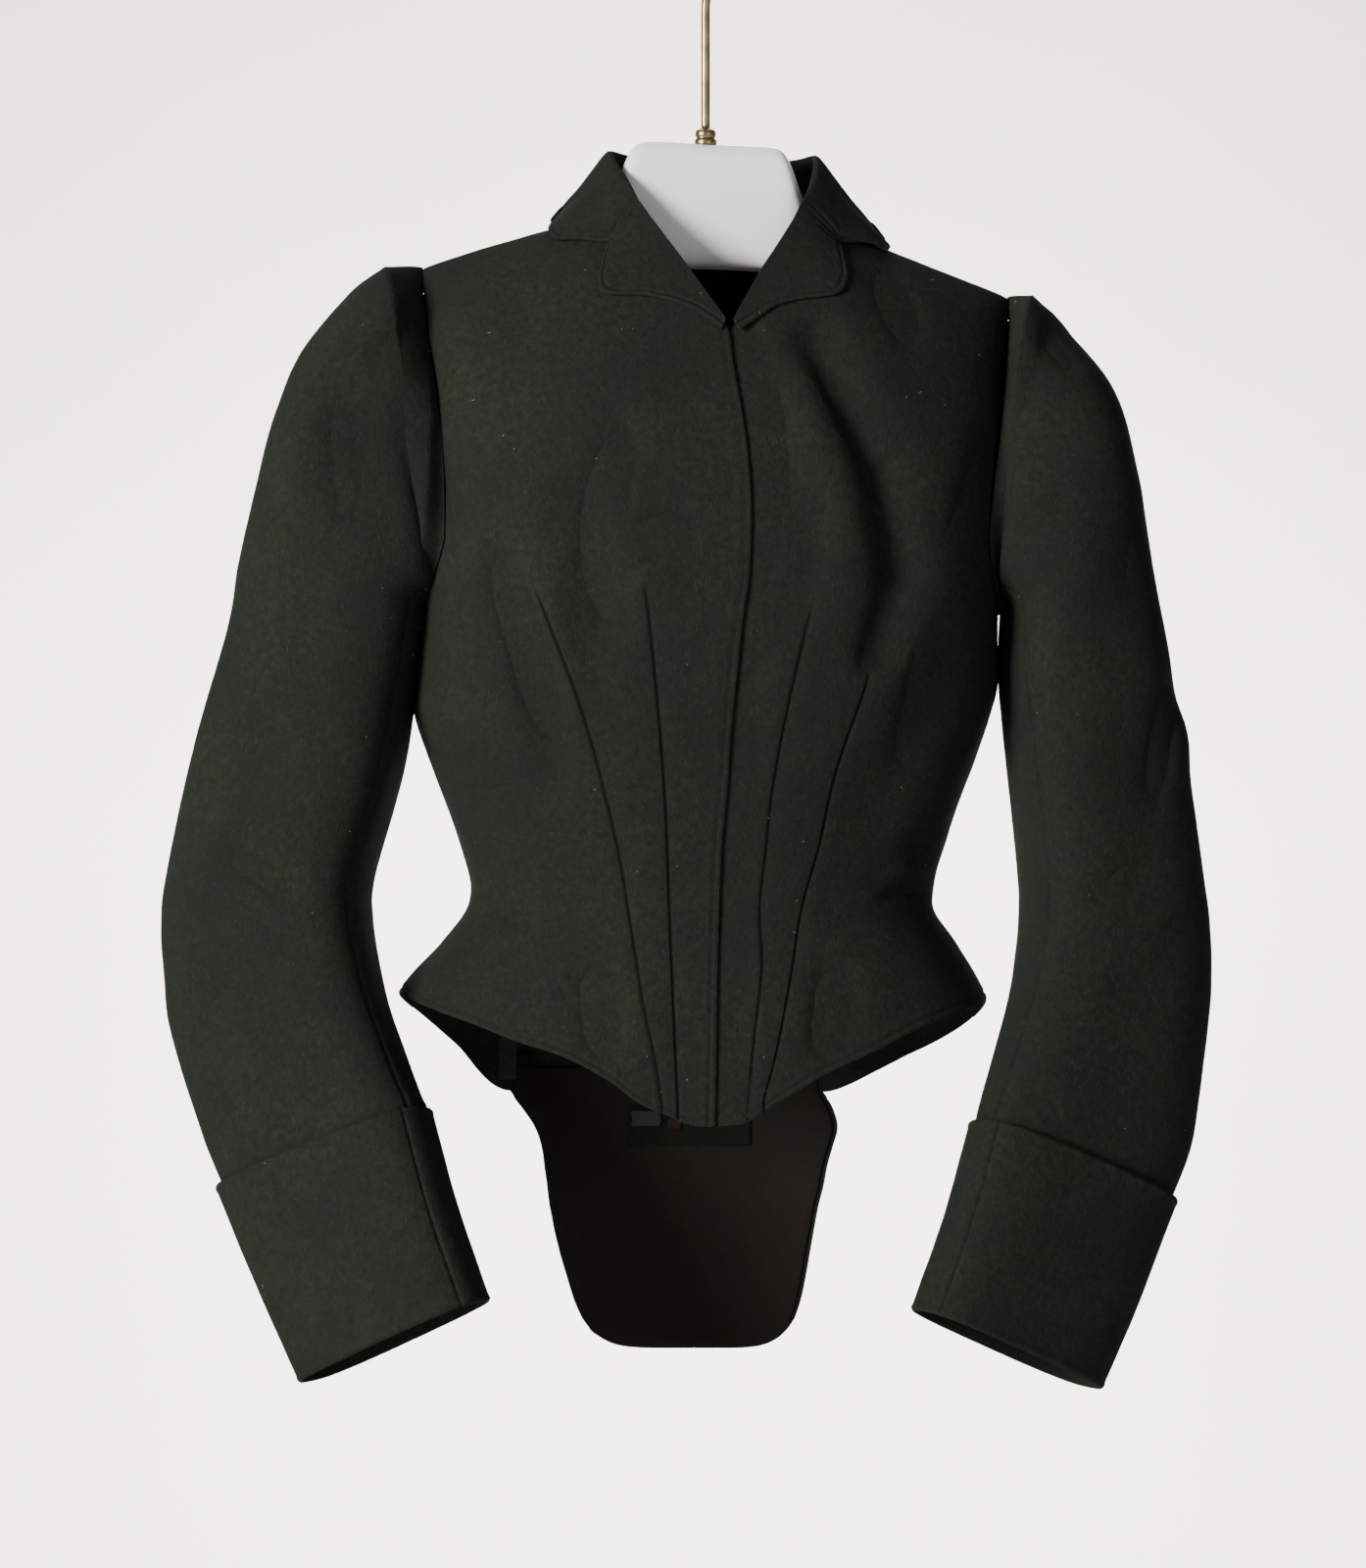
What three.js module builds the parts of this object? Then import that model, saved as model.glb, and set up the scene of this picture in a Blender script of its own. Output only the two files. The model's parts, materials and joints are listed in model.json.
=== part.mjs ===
// A woman's riding habit jacket of dark felted wool, hanging on a moulded hanger.
// Millimetres. +Z is up, +X is the wearer's left and -Y is the front.
// The origin is the inner crown of the hook. Heights in the tables are above the waist.

import * as THREE from 'three';

// ---- Driving sizes ----------------------------------------------------------------------

const WAIST_BELOW_HOOK = 560;
const WOOL = 1.8;
const CUFF_WOOL = 2.6;
const LINING = 1.0;
const SEAM_GAP = 0.3;
const LAYER_GAP = 0.4;
const BODY_BASE = 150;
const ARMHOLE_BOTTOM = 158;
const ARMHOLE_SHOULDER = 200;
const ARMHOLE_CURVE = 0.75;
const UNDERLAP = 20;
const LAP_TURN = 0.03;
const LAP_CLEARANCE = 3;
const LAP_EASE = 24;
const SLEEVE_SQUARENESS = 2.25;
const NECK_CENTRE = 5;
const NECK_TOP = 384;
const SHOULDER_RING = 300;
const TURN_CEILING = 350;

// The closed ring of the body at each height: middle, half width, depths and squareness.
const TORSO = [
  { height: -262, middle: -6, half: 186, front: 84, back: 88, squareness: 2.3 },
  { height: -110, middle: -7, half: 183, front: 84, back: 80, squareness: 2.3 },
  { height: -52, middle: -8, half: 163, front: 80, back: 72, squareness: 2.3 },
  { height: -25, middle: -4, half: 143.2, front: 76, back: 64, squareness: 2.3 },
  { height: -8, middle: -3.5, half: 130.5, front: 73, back: 60, squareness: 2.3 },
  { height: 3, middle: -2, half: 129, front: 72, back: 58, squareness: 2.3 },
  { height: 14, middle: -1.5, half: 131, front: 73, back: 59, squareness: 2.3 },
  { height: 47, middle: -2, half: 141, front: 79, back: 65, squareness: 2.4 },
  { height: 79, middle: -2, half: 154, front: 86, back: 72, squareness: 2.5 },
  { height: 104, middle: -1.8, half: 163.3, front: 91, back: 76, squareness: 2.6 },
  { height: 120, middle: 0.5, half: 165, front: 92.5, back: 78, squareness: 2.6 },
  { height: 160, middle: 2.3, half: 163.3, front: 94, back: 80, squareness: 2.6 },
  { height: 250, middle: 5, half: 165, front: 91, back: 82, squareness: 2.6 },
  { height: 400, middle: 5, half: 165, front: 86, back: 79, squareness: 2.6 },
];

// The shoulder line over the top of the body, right shoulder end to left shoulder end.
const SHOULDER = [
  { across: -190, height: 343.6 },
  { across: -160, height: 353.2 },
  { across: -123, height: 364.8 },
  { across: -86, height: 375 },
  { across: -60, height: 381 },
  { across: 0, height: 384 },
  { across: 70, height: 376 },
  { across: 93, height: 367 },
  { across: 170, height: 337 },
  { across: 200, height: 327 },
];

// The hem round the body. Turn 0 is the front middle, 1 a side and 2 the back middle.
const HEM = [
  { turn: -2.0, height: -113 },
  { turn: -1.6, height: -111 },
  { turn: -1.45, height: -86 },
  { turn: -1.26, height: -66 },
  { turn: -1.0, height: -54 },
  { turn: -0.846, height: -54.4 },
  { turn: -0.683, height: -59.4 },
  { turn: -0.5, height: -68 },
  { turn: -0.353, height: -78.5 },
  { turn: -0.253, height: -86 },
  { turn: -0.161, height: -98.5 },
  { turn: -0.102, height: -110.5 },
  { turn: -0.053, height: -116.5 },
  { turn: 0.0, height: -122.5 },
  { turn: 0.085, height: -122 },
  { turn: 0.11, height: -119.5 },
  { turn: 0.162, height: -110.5 },
  { turn: 0.252, height: -96.5 },
  { turn: 0.365, height: -84.5 },
  { turn: 0.535, height: -69.5 },
  { turn: 0.731, height: -61 },
  { turn: 0.91, height: -57 },
  { turn: 1.0, height: -57 },
  { turn: 1.216, height: -68.5 },
  { turn: 1.5, height: -91 },
  { turn: 1.6, height: -101.5 },
  { turn: 1.69, height: -112 },
  { turn: 1.73, height: -114.5 },
  { turn: 2.0, height: -113 },
];

// The free edge of the right front: the lap, then the roll line of the lapel.
const LAP_EDGE = [
  { height: -124, across: 5 },
  { height: -62, across: 6 },
  { height: -16, across: 7 },
  { height: 31, across: 9 },
  { height: 57, across: 11.5 },
  { height: 93, across: 14 },
  { height: 128, across: 17.5 },
  { height: 152, across: 20 },
  { height: 176, across: 23.5 },
  { height: 204, across: 24.5 },
  { height: 233, across: 23.5 },
  { height: 272, across: 18.5 },
  { height: 311, across: 12 },
  { height: 331, across: 0.5 },
  { height: 347, across: -10.5 },
  { height: 364, across: -22 },
];

// The neck edges of both fronts by the share of the way from the chest to the shoulder.
const NECK_EDGE_RIGHT = [
  { share: 0, across: 24.5 },
  { share: 0.15, across: 23.7 },
  { share: 0.3, across: 21 },
  { share: 0.42, across: 17.5 },
  { share: 0.53, across: 14 },
  { share: 0.61, across: 11.8 },
  { share: 0.7, across: 1.5 },
  { share: 0.8, across: -10.5 },
  { share: 0.89, across: -24 },
  { share: 0.96, across: -52 },
  { share: 1, across: -72 },
];
const NECK_EDGE_LEFT = [
  { share: 0, across: 4.5 },
  { share: 0.15, across: 3.7 },
  { share: 0.3, across: 1 },
  { share: 0.42, across: -2 },
  { share: 0.53, across: -1 },
  { share: 0.61, across: 13.6 },
  { share: 0.7, across: 21 },
  { share: 0.8, across: 31 },
  { share: 0.89, across: 41 },
  { share: 0.96, across: 63 },
  { share: 1, across: 78 },
];

// The neck edge of the backs.
const BACK_NECK = [
  { across: -72, height: 378.2 },
  { across: -54, height: 373 },
  { across: -28, height: 368 },
  { across: 5, height: 366 },
  { across: 38, height: 366 },
  { across: 60, height: 369 },
  { across: 78, height: 373 },
];

// The armhole edges, as a turn, by the share of the way up to the shoulder.
const ARMHOLE = {
  right: [
    { share: 0, front: 0.72, back: 1.3 },
    { share: 0.25, front: 0.725, back: 1.29 },
    { share: 0.5, front: 0.76, back: 1.25 },
    { share: 0.75, front: 0.84, back: 1.17 },
    { share: 1, front: 0.93, back: 1.07 },
  ],
  left: [
    { share: 0, front: 0.77, back: 1.26 },
    { share: 0.3, front: 0.79, back: 1.24 },
    { share: 0.65, front: 0.86, back: 1.19 },
    { share: 1, front: 0.95, back: 1.05 },
  ],
};

// The curved seam between side back and back, and the side edges of the tail below it.
const BACK_SEAM = {
  right: [
    { height: -111, across: -113 },
    { height: -60, across: -82 },
    { height: 0, across: -45 },
    { height: 60, across: -64 },
    { height: 120, across: -101 },
    { height: 160, across: -126 },
    { height: 200, across: -144 },
  ],
  left: [
    { height: -111, across: 68 },
    { height: -60, across: 62 },
    { height: 0, across: 42 },
    { height: 60, across: 60 },
    { height: 120, across: 98 },
    { height: 160, across: 126 },
    { height: 200, across: 149 },
  ],
};
const SIDE_SEAM_TURN = 1.22;
const TAIL_END = -264;
const TAIL_CORNER = { rise: 18, power: 5.5 };
const TAIL_EDGE = [
  { height: -246, right: -71.5, left: 52.5 },
  { height: -237, right: -75.5, left: 55.5 },
  { height: -226, right: -79, left: 58 },
  { height: -203, right: -85.5, left: 62 },
  { height: -181, right: -90, left: 66 },
  { height: -169, right: -91.5, left: 69 },
  { height: -158, right: -93, left: 71 },
  { height: -147, right: -94.5, left: 74 },
  { height: -135, right: -98.5, left: 77 },
  { height: -124, right: -105.5, left: 74 },
  { height: -118, right: -110, left: 70.5 },
  { height: -111, right: -113, left: 68 },
];

// Large soft folds of the fronts: a trough along a line, at its widest and deepest middle.
const FOLDS = [
  { x0: 62, z0: 306, x1: 94, z1: 234, width: 13, depth: 6 },
  { x0: 94, z0: 234, x1: 106, z1: 180, width: 14, depth: 8 },
  { x0: 106, z0: 180, x1: 96, z1: 138, width: 13, depth: 5 },
  { x0: 138, z0: 128, x1: 92, z1: 50, width: 20, depth: 4 },
  { x0: -110, z0: 178, x1: -80, z1: 74, width: 18, depth: 3.5 },
  { x0: -72, z0: 222, x1: -60, z1: 150, width: 15, depth: 3 },
];

// The folds sink towards this distance across for each part back.
const FOLD_LEAN = { across: 200, front: -0.9 };

// Sleeves: the outer and the inner side of each section, and half its depth.
const SLEEVE = {
  right: [
    { run: 1, ox: -181, oy: 1, oz: 355, ix: -163, iy: -4, iz: 162, depth: 41 },
    { run: 2, ox: -201.5, oy: 1, oz: 339, ix: -163, iy: -8, iz: 166, depth: 47 },
    { run: 3, ox: -226.5, oy: 0, oz: 306, ix: -162.8, iy: -14, iz: 167, depth: 51 },
    { run: 4, ox: -238.5, oy: 0, oz: 273, ix: -162.8, iy: -18, iz: 162.5, depth: 52 },
    { run: 5, ox: -248.5, oy: 0, oz: 234, ix: -163, iy: -20, iz: 154, depth: 50 },
    { run: 6, ox: -259.5, oy: 0, oz: 187, ix: -164.4, iy: -22, iz: 141, depth: 47 },
    { run: 7, ox: -265.5, oy: 0, oz: 151, ix: -166.3, iy: -24, iz: 122, depth: 45 },
    { run: 8, ox: -284.5, oy: 3, oz: 87, ix: -169, iy: -27, iz: 77, depth: 43 },
    { run: 9, ox: -300.5, oy: 4, oz: 11, ix: -185.5, iy: -30, iz: 14, depth: 41 },
    { run: 10, ox: -303, oy: 2, oz: -20, ix: -186.5, iy: -33, iz: -9, depth: 40 },
    { run: 11, ox: -301, oy: -3, oz: -49, ix: -182, iy: -39, iz: -34, depth: 38 },
    { run: 12, ox: -296.5, oy: -10, oz: -77, ix: -175, iy: -47, iz: -61, depth: 36 },
    { run: 13, ox: -278, oy: -26, oz: -133, ix: -158.5, iy: -65, iz: -101, depth: 30 },
    { run: 14, ox: -268.5, oy: -33, oz: -155, ix: -153.8, iy: -73, iz: -110, depth: 25.5 },
    { run: 15, ox: -258, oy: -37.5, oz: -175, ix: -150.5, iy: -76, iz: -124, depth: 22 },
    { run: 16, ox: -248.5, oy: -41.5, oz: -192, ix: -145, iy: -82.5, iz: -140, depth: 19 },
  ],
  left: [
    { run: 1, ox: 185, oy: 1, oz: 338.5, ix: 168, iy: -4, iz: 162, depth: 40 },
    { run: 2, ox: 198, oy: 1, oz: 324, ix: 168, iy: -8, iz: 164, depth: 45 },
    { run: 3, ox: 213.5, oy: 0, oz: 304.5, ix: 168, iy: -14, iz: 163, depth: 49 },
    { run: 4, ox: 226.5, oy: 0, oz: 283, ix: 168, iy: -18, iz: 159, depth: 50 },
    { run: 5, ox: 235.5, oy: 0, oz: 250, ix: 168, iy: -20, iz: 153, depth: 49 },
    { run: 6, ox: 244.8, oy: 0, oz: 206, ix: 168.2, iy: -22, iz: 141, depth: 47 },
    { run: 7, ox: 251.7, oy: 0, oz: 162, ix: 168.8, iy: -24, iz: 123, depth: 45 },
    { run: 8, ox: 265, oy: 3, oz: 91, ix: 170, iy: -27, iz: 84, depth: 43 },
    { run: 9, ox: 275, oy: 4, oz: 16, ix: 176.5, iy: -30, iz: 19, depth: 41 },
    { run: 10, ox: 279.2, oy: 2, oz: -17, ix: 177, iy: -33, iz: -5, depth: 40 },
    { run: 11, ox: 280, oy: -3, oz: -47, ix: 174, iy: -39, iz: -29, depth: 38 },
    { run: 12, ox: 277.7, oy: -10, oz: -75, ix: 168.5, iy: -47, iz: -55, depth: 36 },
    { run: 13, ox: 269, oy: -26, oz: -133, ix: 153, iy: -65, iz: -103, depth: 30 },
    { run: 14, ox: 260.5, oy: -32, oz: -158, ix: 149.3, iy: -73, iz: -114, depth: 25.5 },
    { run: 15, ox: 251, oy: -37.5, oz: -178, ix: 145.5, iy: -76, iz: -128, depth: 22 },
    { run: 16, ox: 242, oy: -41.5, oz: -196, ix: 139.5, iy: -83, iz: -146, depth: 19.5 },
  ],
};
const CUFF = {
  right: [
    { run: 0, ox: -269.5, oy: -33, oz: -162, ix: -150, iy: -75, iz: -112, depth: 30 },
    { run: 1, ox: -246, oy: -45.5, oz: -213, ix: -134, iy: -90, iz: -163, depth: 28 },
    { run: 2, ox: -221, oy: -56, oz: -266, ix: -117.5, iy: -104, iz: -214, depth: 26 },
  ],
  left: [
    { run: 0, ox: 259, oy: -33, oz: -169.5, ix: 145, iy: -75, iz: -118.5, depth: 30 },
    { run: 1, ox: 238.5, oy: -45.5, oz: -219, ix: 128.5, iy: -90, iz: -169, depth: 28 },
    { run: 2, ox: 215.5, oy: -56, oz: -269.5, ix: 111.5, iy: -104, iz: -219, depth: 26 },
  ],
};

// The collar from its right front end round the back of the neck to its left front end:
// the free edge on the body, the crest where it folds and the seam at the foot of the stand.
const COLLAR_EDGE = [
  { run: 0, x: -82.5, z: 364 },
  { run: 1, x: -87, z: 370.5 },
  { run: 2, x: -87, z: 400 },
  { run: 3, x: -83, z: 366 },
  { run: 4, x: -50, z: 352 },
  { run: 5, x: 5, z: 345 },
  { run: 6, x: 60, z: 347 },
  { run: 7, x: 94.5, z: 357 },
  { run: 8, x: 101, z: 400 },
  { run: 9, x: 101.5, z: 361 },
  { run: 10, x: 97.5, z: 361 },
];
const COLLAR_CREST = [
  { run: 0, x: -37, y: -35.5, z: 386 },
  { run: 1, x: -45, y: -24, z: 401.5 },
  { run: 2, x: -54, y: -3, z: 417.6 },
  { run: 3, x: -47, y: 32, z: 418.5 },
  { run: 4, x: -27, y: 50, z: 417 },
  { run: 5, x: 5, y: 56, z: 415.5 },
  { run: 6, x: 35, y: 50, z: 414.5 },
  { run: 7, x: 55, y: 32, z: 414 },
  { run: 8, x: 61.5, y: -3, z: 414.8 },
  { run: 9, x: 58.5, y: -23, z: 398 },
  { run: 10, x: 53.5, y: -35.5, z: 385.6 },
];
const COLLAR_SEAM = [
  { run: 0, x: -38, y: -30.5, z: 380.5 },
  { run: 1, x: -54, y: -26, z: 381 },
  { run: 2, x: -70, y: -3, z: 382 },
  { run: 3, x: -58, y: 24, z: 378 },
  { run: 4, x: -30, y: 41, z: 371.8 },
  { run: 5, x: 5, y: 45.5, z: 369.5 },
  { run: 6, x: 38, y: 42, z: 369.5 },
  { run: 7, x: 66, y: 22, z: 374.5 },
  { run: 8, x: 76, y: -3, z: 377 },
  { run: 9, x: 64, y: -26, z: 378 },
  { run: 10, x: 53.5, y: -30.5, z: 380 },
];
// Where the collar passes behind the neck, and its bulge and the roll of its crest.
const COLLAR_BEHIND = 2;
const COLLAR_EASE = 2.5;
const COLLAR_BULGE = 0.6;
const CREST_ROLL = { outside: 3.6, outsideDrop: 2.4, inside: 1.6, insideDrop: 3.4 };
// The share of a collar end, from its crest to the notch, that the roll takes up.
const END_FALL = 0.14;
const NOTCH = { right: { across: -52.4, height: 362.7 }, left: { across: 73.6, height: 362.9 } };
const ROLL_DEPTH = { breakPoint: -69, gorge: -34 };

// The lapels: the roll line and the outer edge from the break up to the gorge.
const LAPEL = {
  right: [
    { share: 0, rollX: 11, rollZ: 317, edgeX: 8.5, edgeZ: 311.5 },
    { share: 0.14, rollX: 3.5, rollZ: 327.5, edgeX: -6, edgeZ: 322 },
    { share: 0.28, rollX: -4.5, rollZ: 339, edgeX: -20, edgeZ: 327.5 },
    { share: 0.43, rollX: -12.5, rollZ: 350.5, edgeX: -38, edgeZ: 331.2 },
    { share: 0.57, rollX: -20, rollZ: 361, edgeX: -54.5, edgeZ: 331.6 },
    { share: 0.71, rollX: -26, rollZ: 369.5, edgeX: -58.5, edgeZ: 339 },
    { share: 0.86, rollX: -31.2, rollZ: 377, edgeX: -56, edgeZ: 353 },
    { share: 1, rollX: -35, rollZ: 383.3, edgeX: -51.6, edgeZ: 361.6 },
  ],
  left: [
    { share: 0, rollX: 15, rollZ: 316.5, edgeX: 18.5, edgeZ: 311 },
    { share: 0.14, rollX: 19.5, rollZ: 325.5, edgeX: 31, edgeZ: 320 },
    { share: 0.28, rollX: 25, rollZ: 335.5, edgeX: 40, edgeZ: 325.5 },
    { share: 0.43, rollX: 30, rollZ: 345, edgeX: 55, edgeZ: 329.3 },
    { share: 0.57, rollX: 36, rollZ: 354.5, edgeX: 72, edgeZ: 332 },
    { share: 0.71, rollX: 42.5, rollZ: 365, edgeX: 77.5, edgeZ: 341 },
    { share: 0.86, rollX: 48.2, rollZ: 374.8, edgeX: 75.8, edgeZ: 354 },
    { share: 1, rollX: 50.6, rollZ: 382.3, edgeX: 72.8, edgeZ: 361.9 },
  ],
};

// Pieces laid inside the tail: the lining with its margins, a band across it and a tape.
const TAIL_LINING = { low: -260, high: -100, margin: 5, corner: 22 };
const TAIL_BAND = { low: -145, high: -123, right: -44, left: 26 };
const SEAM_TAPE = { low: -106, high: -76, right: -119, left: -109.5 };

// The hanger body from end to end: its top, its underside and half its depth.
const HANGER = [
  { across: -144, top: 353.5, under: 346, depth: 5, squareness: 2.2 },
  { across: -140, top: 355.6, under: 340, depth: 8.5, squareness: 2.2 },
  { across: -120, top: 361.4, under: 336, depth: 12.5, squareness: 2.2 },
  { across: -88, top: 370.6, under: 334, depth: 14.5, squareness: 2.3 },
  { across: -66, top: 374, under: 339, depth: 14, squareness: 2.4 },
  { across: -58, top: 377, under: 343, depth: 13.5, squareness: 2.5 },
  { across: -52, top: 391, under: 346, depth: 14.5, squareness: 2.9 },
  { across: -48, top: 404, under: 348.2, depth: 16, squareness: 3.6 },
  { across: -44, top: 414, under: 350.4, depth: 16.5, squareness: 4.2 },
  { across: -39, top: 420.5, under: 352, depth: 17, squareness: 5 },
  { across: -33, top: 422.8, under: 353, depth: 17, squareness: 5 },
  { across: 5, top: 420.8, under: 352.6, depth: 17, squareness: 5 },
  { across: 38, top: 419, under: 350.8, depth: 17, squareness: 5 },
  { across: 44, top: 416, under: 349.6, depth: 17, squareness: 5 },
  { across: 48.5, top: 408, under: 348.4, depth: 16.5, squareness: 4.2 },
  { across: 54.5, top: 391, under: 345.6, depth: 14.5, squareness: 3.2 },
  { across: 60, top: 376, under: 341, depth: 13.5, squareness: 2.6 },
  { across: 72, top: 370.5, under: 334, depth: 14, squareness: 2.4 },
  { across: 94, top: 363, under: 329, depth: 14.5, squareness: 2.3 },
  { across: 125, top: 351.2, under: 323, depth: 12.5, squareness: 2.2 },
  { across: 146, top: 343, under: 326, depth: 8.5, squareness: 2.2 },
  { across: 150, top: 340, under: 332, depth: 5, squareness: 2.2 },
];
const ROD_RADIUS = 2.5;
const HOOK_INNER_RADIUS = 20;
const FERRULE_HEIGHT = 9;
const HANGER_TOP = 421;
// The hook's straight rod ends at top and swings out to an arc between two angles.
const HOOK_BEND = { top: -62, lead: 14, inward: 9, drop: 12, from: -35, to: 189 };

// ---- Materials ----------------------------------------------------------------------------

const cloth = (color) => new THREE.MeshStandardMaterial({ color, roughness: 0.95, metalness: 0 });
const MATERIALS = {
  wool: () => cloth(0x2a2d28),
  lining: () => cloth(0x1c1813),
  band: () => cloth(0x33362f),
  tape: () => cloth(0x55554c),
  satin: () => new THREE.MeshStandardMaterial({ color: 0xe9e8e4, roughness: 0.4, metalness: 0 }),
  brass: () => new THREE.MeshStandardMaterial({ color: 0x9a7b45, roughness: 0.35, metalness: 0.9 }),
};

// ---- Shared geometry ------------------------------------------------------------------------

const mix = (a, b, t) => a + (b - a) * t;
const clamp = (value) => Math.min(1, Math.max(0, value));
const ease = (t) => clamp(t) ** 2 * (3 - 2 * clamp(t));

// A smooth reading between the rows of a table, by one of its columns.
function read(rows, column, at, wanted) {
  const last = rows.length - 1;
  if (at <= rows[0][column]) return rows[0][wanted];
  if (at >= rows[last][column]) return rows[last][wanted];
  let i = 0;
  while (rows[i + 1][column] < at) i += 1;
  const slope = (j) => {
    const before = rows[Math.max(j - 1, 0)];
    const after = rows[Math.min(j + 1, last)];
    return (after[wanted] - before[wanted]) / (after[column] - before[column]);
  };
  const span = rows[i + 1][column] - rows[i][column];
  const t = (at - rows[i][column]) / span;
  return (2 * t ** 3 - 3 * t ** 2 + 1) * rows[i][wanted]
    + (t ** 3 - 2 * t ** 2 + t) * span * slope(i)
    + (3 * t ** 2 - 2 * t ** 3) * rows[i + 1][wanted]
    + (t ** 3 - t ** 2) * span * slope(i + 1);
}

const heightOf = (aboveWaist) => aboveWaist - WAIST_BELOW_HOOK;

// A wall of cloth: outer and inner points on grids, closed by a rim round every free edge.
class Wall {
  constructor() {
    this.outer = [];
    this.inner = [];
    this.quads = [];
    this.numbers = new Map();
  }

  vertex(point, normal, lift, thickness) {
    const key = [point.x, point.y, point.z].map((value) => Math.round(value * 500)).join(' ');
    if (!this.numbers.has(key)) {
      this.numbers.set(key, this.outer.length);
      this.outer.push(point.clone().addScaledVector(normal, lift));
      this.inner.push(point.clone().addScaledVector(normal, lift - thickness));
    }
    return this.numbers.get(key);
  }

  // Rows of vertex numbers, each row running the same way, so that the normals face out.
  grid(rows) {
    for (let r = 0; r + 1 < rows.length; r += 1) {
      for (let c = 0; c + 1 < rows[r].length; c += 1) {
        const corners = [rows[r][c], rows[r][c + 1], rows[r + 1][c + 1], rows[r + 1][c]];
        this.quads.push(corners.filter((n, i) => n !== corners[(i + 3) % 4]));
      }
    }
  }

  geometry() {
    const positions = [];
    const triangles = [];
    for (const point of [...this.outer, ...this.inner]) positions.push(point.x, point.y, point.z);
    const under = this.outer.length;
    const edges = new Map();
    for (const quad of this.quads) {
      for (let i = 1; i + 1 < quad.length; i += 1) {
        triangles.push(quad[0], quad[i], quad[i + 1]);
        triangles.push(under + quad[0], under + quad[i + 1], under + quad[i]);
      }
      quad.forEach((from, i) => edges.set(`${from} ${quad[(i + 1) % quad.length]}`, true));
    }
    for (const edge of edges.keys()) {
      const [from, to] = edge.split(' ').map(Number);
      if (!edges.has(`${to} ${from}`)) {
        // Neighbours share this rule, so their rims split along the same diagonal.
        const rising = this.outer[to].z > this.outer[from].z;
        const diagonal = rising ? [under + from, to] : [from, under + to];
        triangles.push(from, under + from, diagonal[1]);
        triangles.push(diagonal[0], under + to, to);
      }
    }
    const geometry = new THREE.BufferGeometry();
    geometry.setAttribute('position', new THREE.Float32BufferAttribute(positions, 3));
    geometry.setIndex(triangles);
    geometry.computeVertexNormals();
    return geometry;
  }
}

const part = new THREE.Group();

function add(name, geometry, material) {
  const mesh = new THREE.Mesh(geometry, material());
  mesh.name = name;
  part.add(mesh);
  return mesh;
}

// ---- The body's surface -----------------------------------------------------------------------

const shoulderHeight = (turn) => {
  const ring = (wanted) => read(TORSO, 'height', SHOULDER_RING, wanted);
  const across = ring('middle') + ring('half') * Math.sin(turn * Math.PI / 2);
  return read(SHOULDER, 'across', across, 'height');
};

function bareBody(turn, height) {
  const ring = (wanted) => read(TORSO, 'height', height, wanted);
  const sine = Math.sin(turn * Math.PI / 2);
  const behind = Math.abs(turn) > 1;
  const reach = Math.max(0, 1 - Math.abs(sine) ** ring('squareness')) ** (1 / ring('squareness'));
  const climb = clamp((height - BODY_BASE) / (shoulderHeight(turn) - BODY_BASE));
  const rounding = behind ? (1 - climb ** 4) ** 0.45 : (1 - climb ** 2.6) ** 0.5;
  const y = (behind ? ring('back') : -ring('front')) * reach * rounding;
  return new THREE.Vector3(ring('middle') + ring('half') * sine, y, heightOf(height));
}

function foldDepth(across, height) {
  let depth = 0;
  for (const fold of FOLDS) {
    const [dx, dz] = [fold.x1 - fold.x0, fold.z1 - fold.z0];
    const along = ((across - fold.x0) * dx + (height - fold.z0) * dz) / (dx * dx + dz * dz);
    const near = clamp(along);
    const gap = Math.hypot(across - fold.x0 - dx * near, height - fold.z0 - dz * near);
    depth = Math.max(depth, fold.depth * Math.exp(-((gap / fold.width) ** 2)));
  }
  return depth;
}

function bodyPoint(turn, height) {
  const point = bareBody(turn, height);
  if (Math.abs(turn) < 1) {
    const lean = new THREE.Vector3(point.x / FOLD_LEAN.across, FOLD_LEAN.front, 0).normalize();
    point.addScaledVector(lean, -foldDepth(point.x, height));
  }
  return point;
}

function bodyNormal(turn, height) {
  const stepTurn = 0.004;
  const stepHeight = 0.4;
  const top = shoulderHeight(turn);
  const low = bodyPoint(turn, Math.min(height, top - stepHeight) - stepHeight);
  const high = bodyPoint(turn, Math.min(height + stepHeight, top));
  const aside = bodyPoint(turn + stepTurn, height).sub(bodyPoint(turn - stepTurn, height));
  const normal = aside.cross(high.sub(low)).normalize();
  if (height > top - 0.01) {
    normal.y = 0;
    normal.normalize();
  }
  return normal;
}

// The turn at a distance across the body, on its front or behind it.
function turnAt(across, height, behind) {
  const middle = read(TORSO, 'height', height, 'middle');
  const sine = (across - middle) / read(TORSO, 'height', height, 'half');
  const turn = Math.asin(Math.min(1, Math.max(-1, sine))) * 2 / Math.PI;
  if (!behind) return turn;
  return across < middle ? -2 - turn : 2 - turn;
}

// A turn moved along the cloth by some millimetres.
function moveTurn(turn, height, distance) {
  const step = 0.002;
  const length = bareBody(turn + step, height).distanceTo(bareBody(turn - step, height));
  return turn + distance * 2 * step / length;
}

const hemAt = (turn) => read(HEM, 'turn', turn, 'height');

// The top of the body's lower part: level, but for the bottom of each armhole.
function chestAt(turn, side) {
  const { front, back } = ARMHOLE[side][0];
  const share = (Math.abs(turn) - (front + back) / 2) / ((back - front) / 2);
  const dip = Math.max(0, 1 - share * share) ** ARMHOLE_CURVE;
  return ARMHOLE_SHOULDER - (ARMHOLE_SHOULDER - ARMHOLE_BOTTOM) * dip;
}

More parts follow.
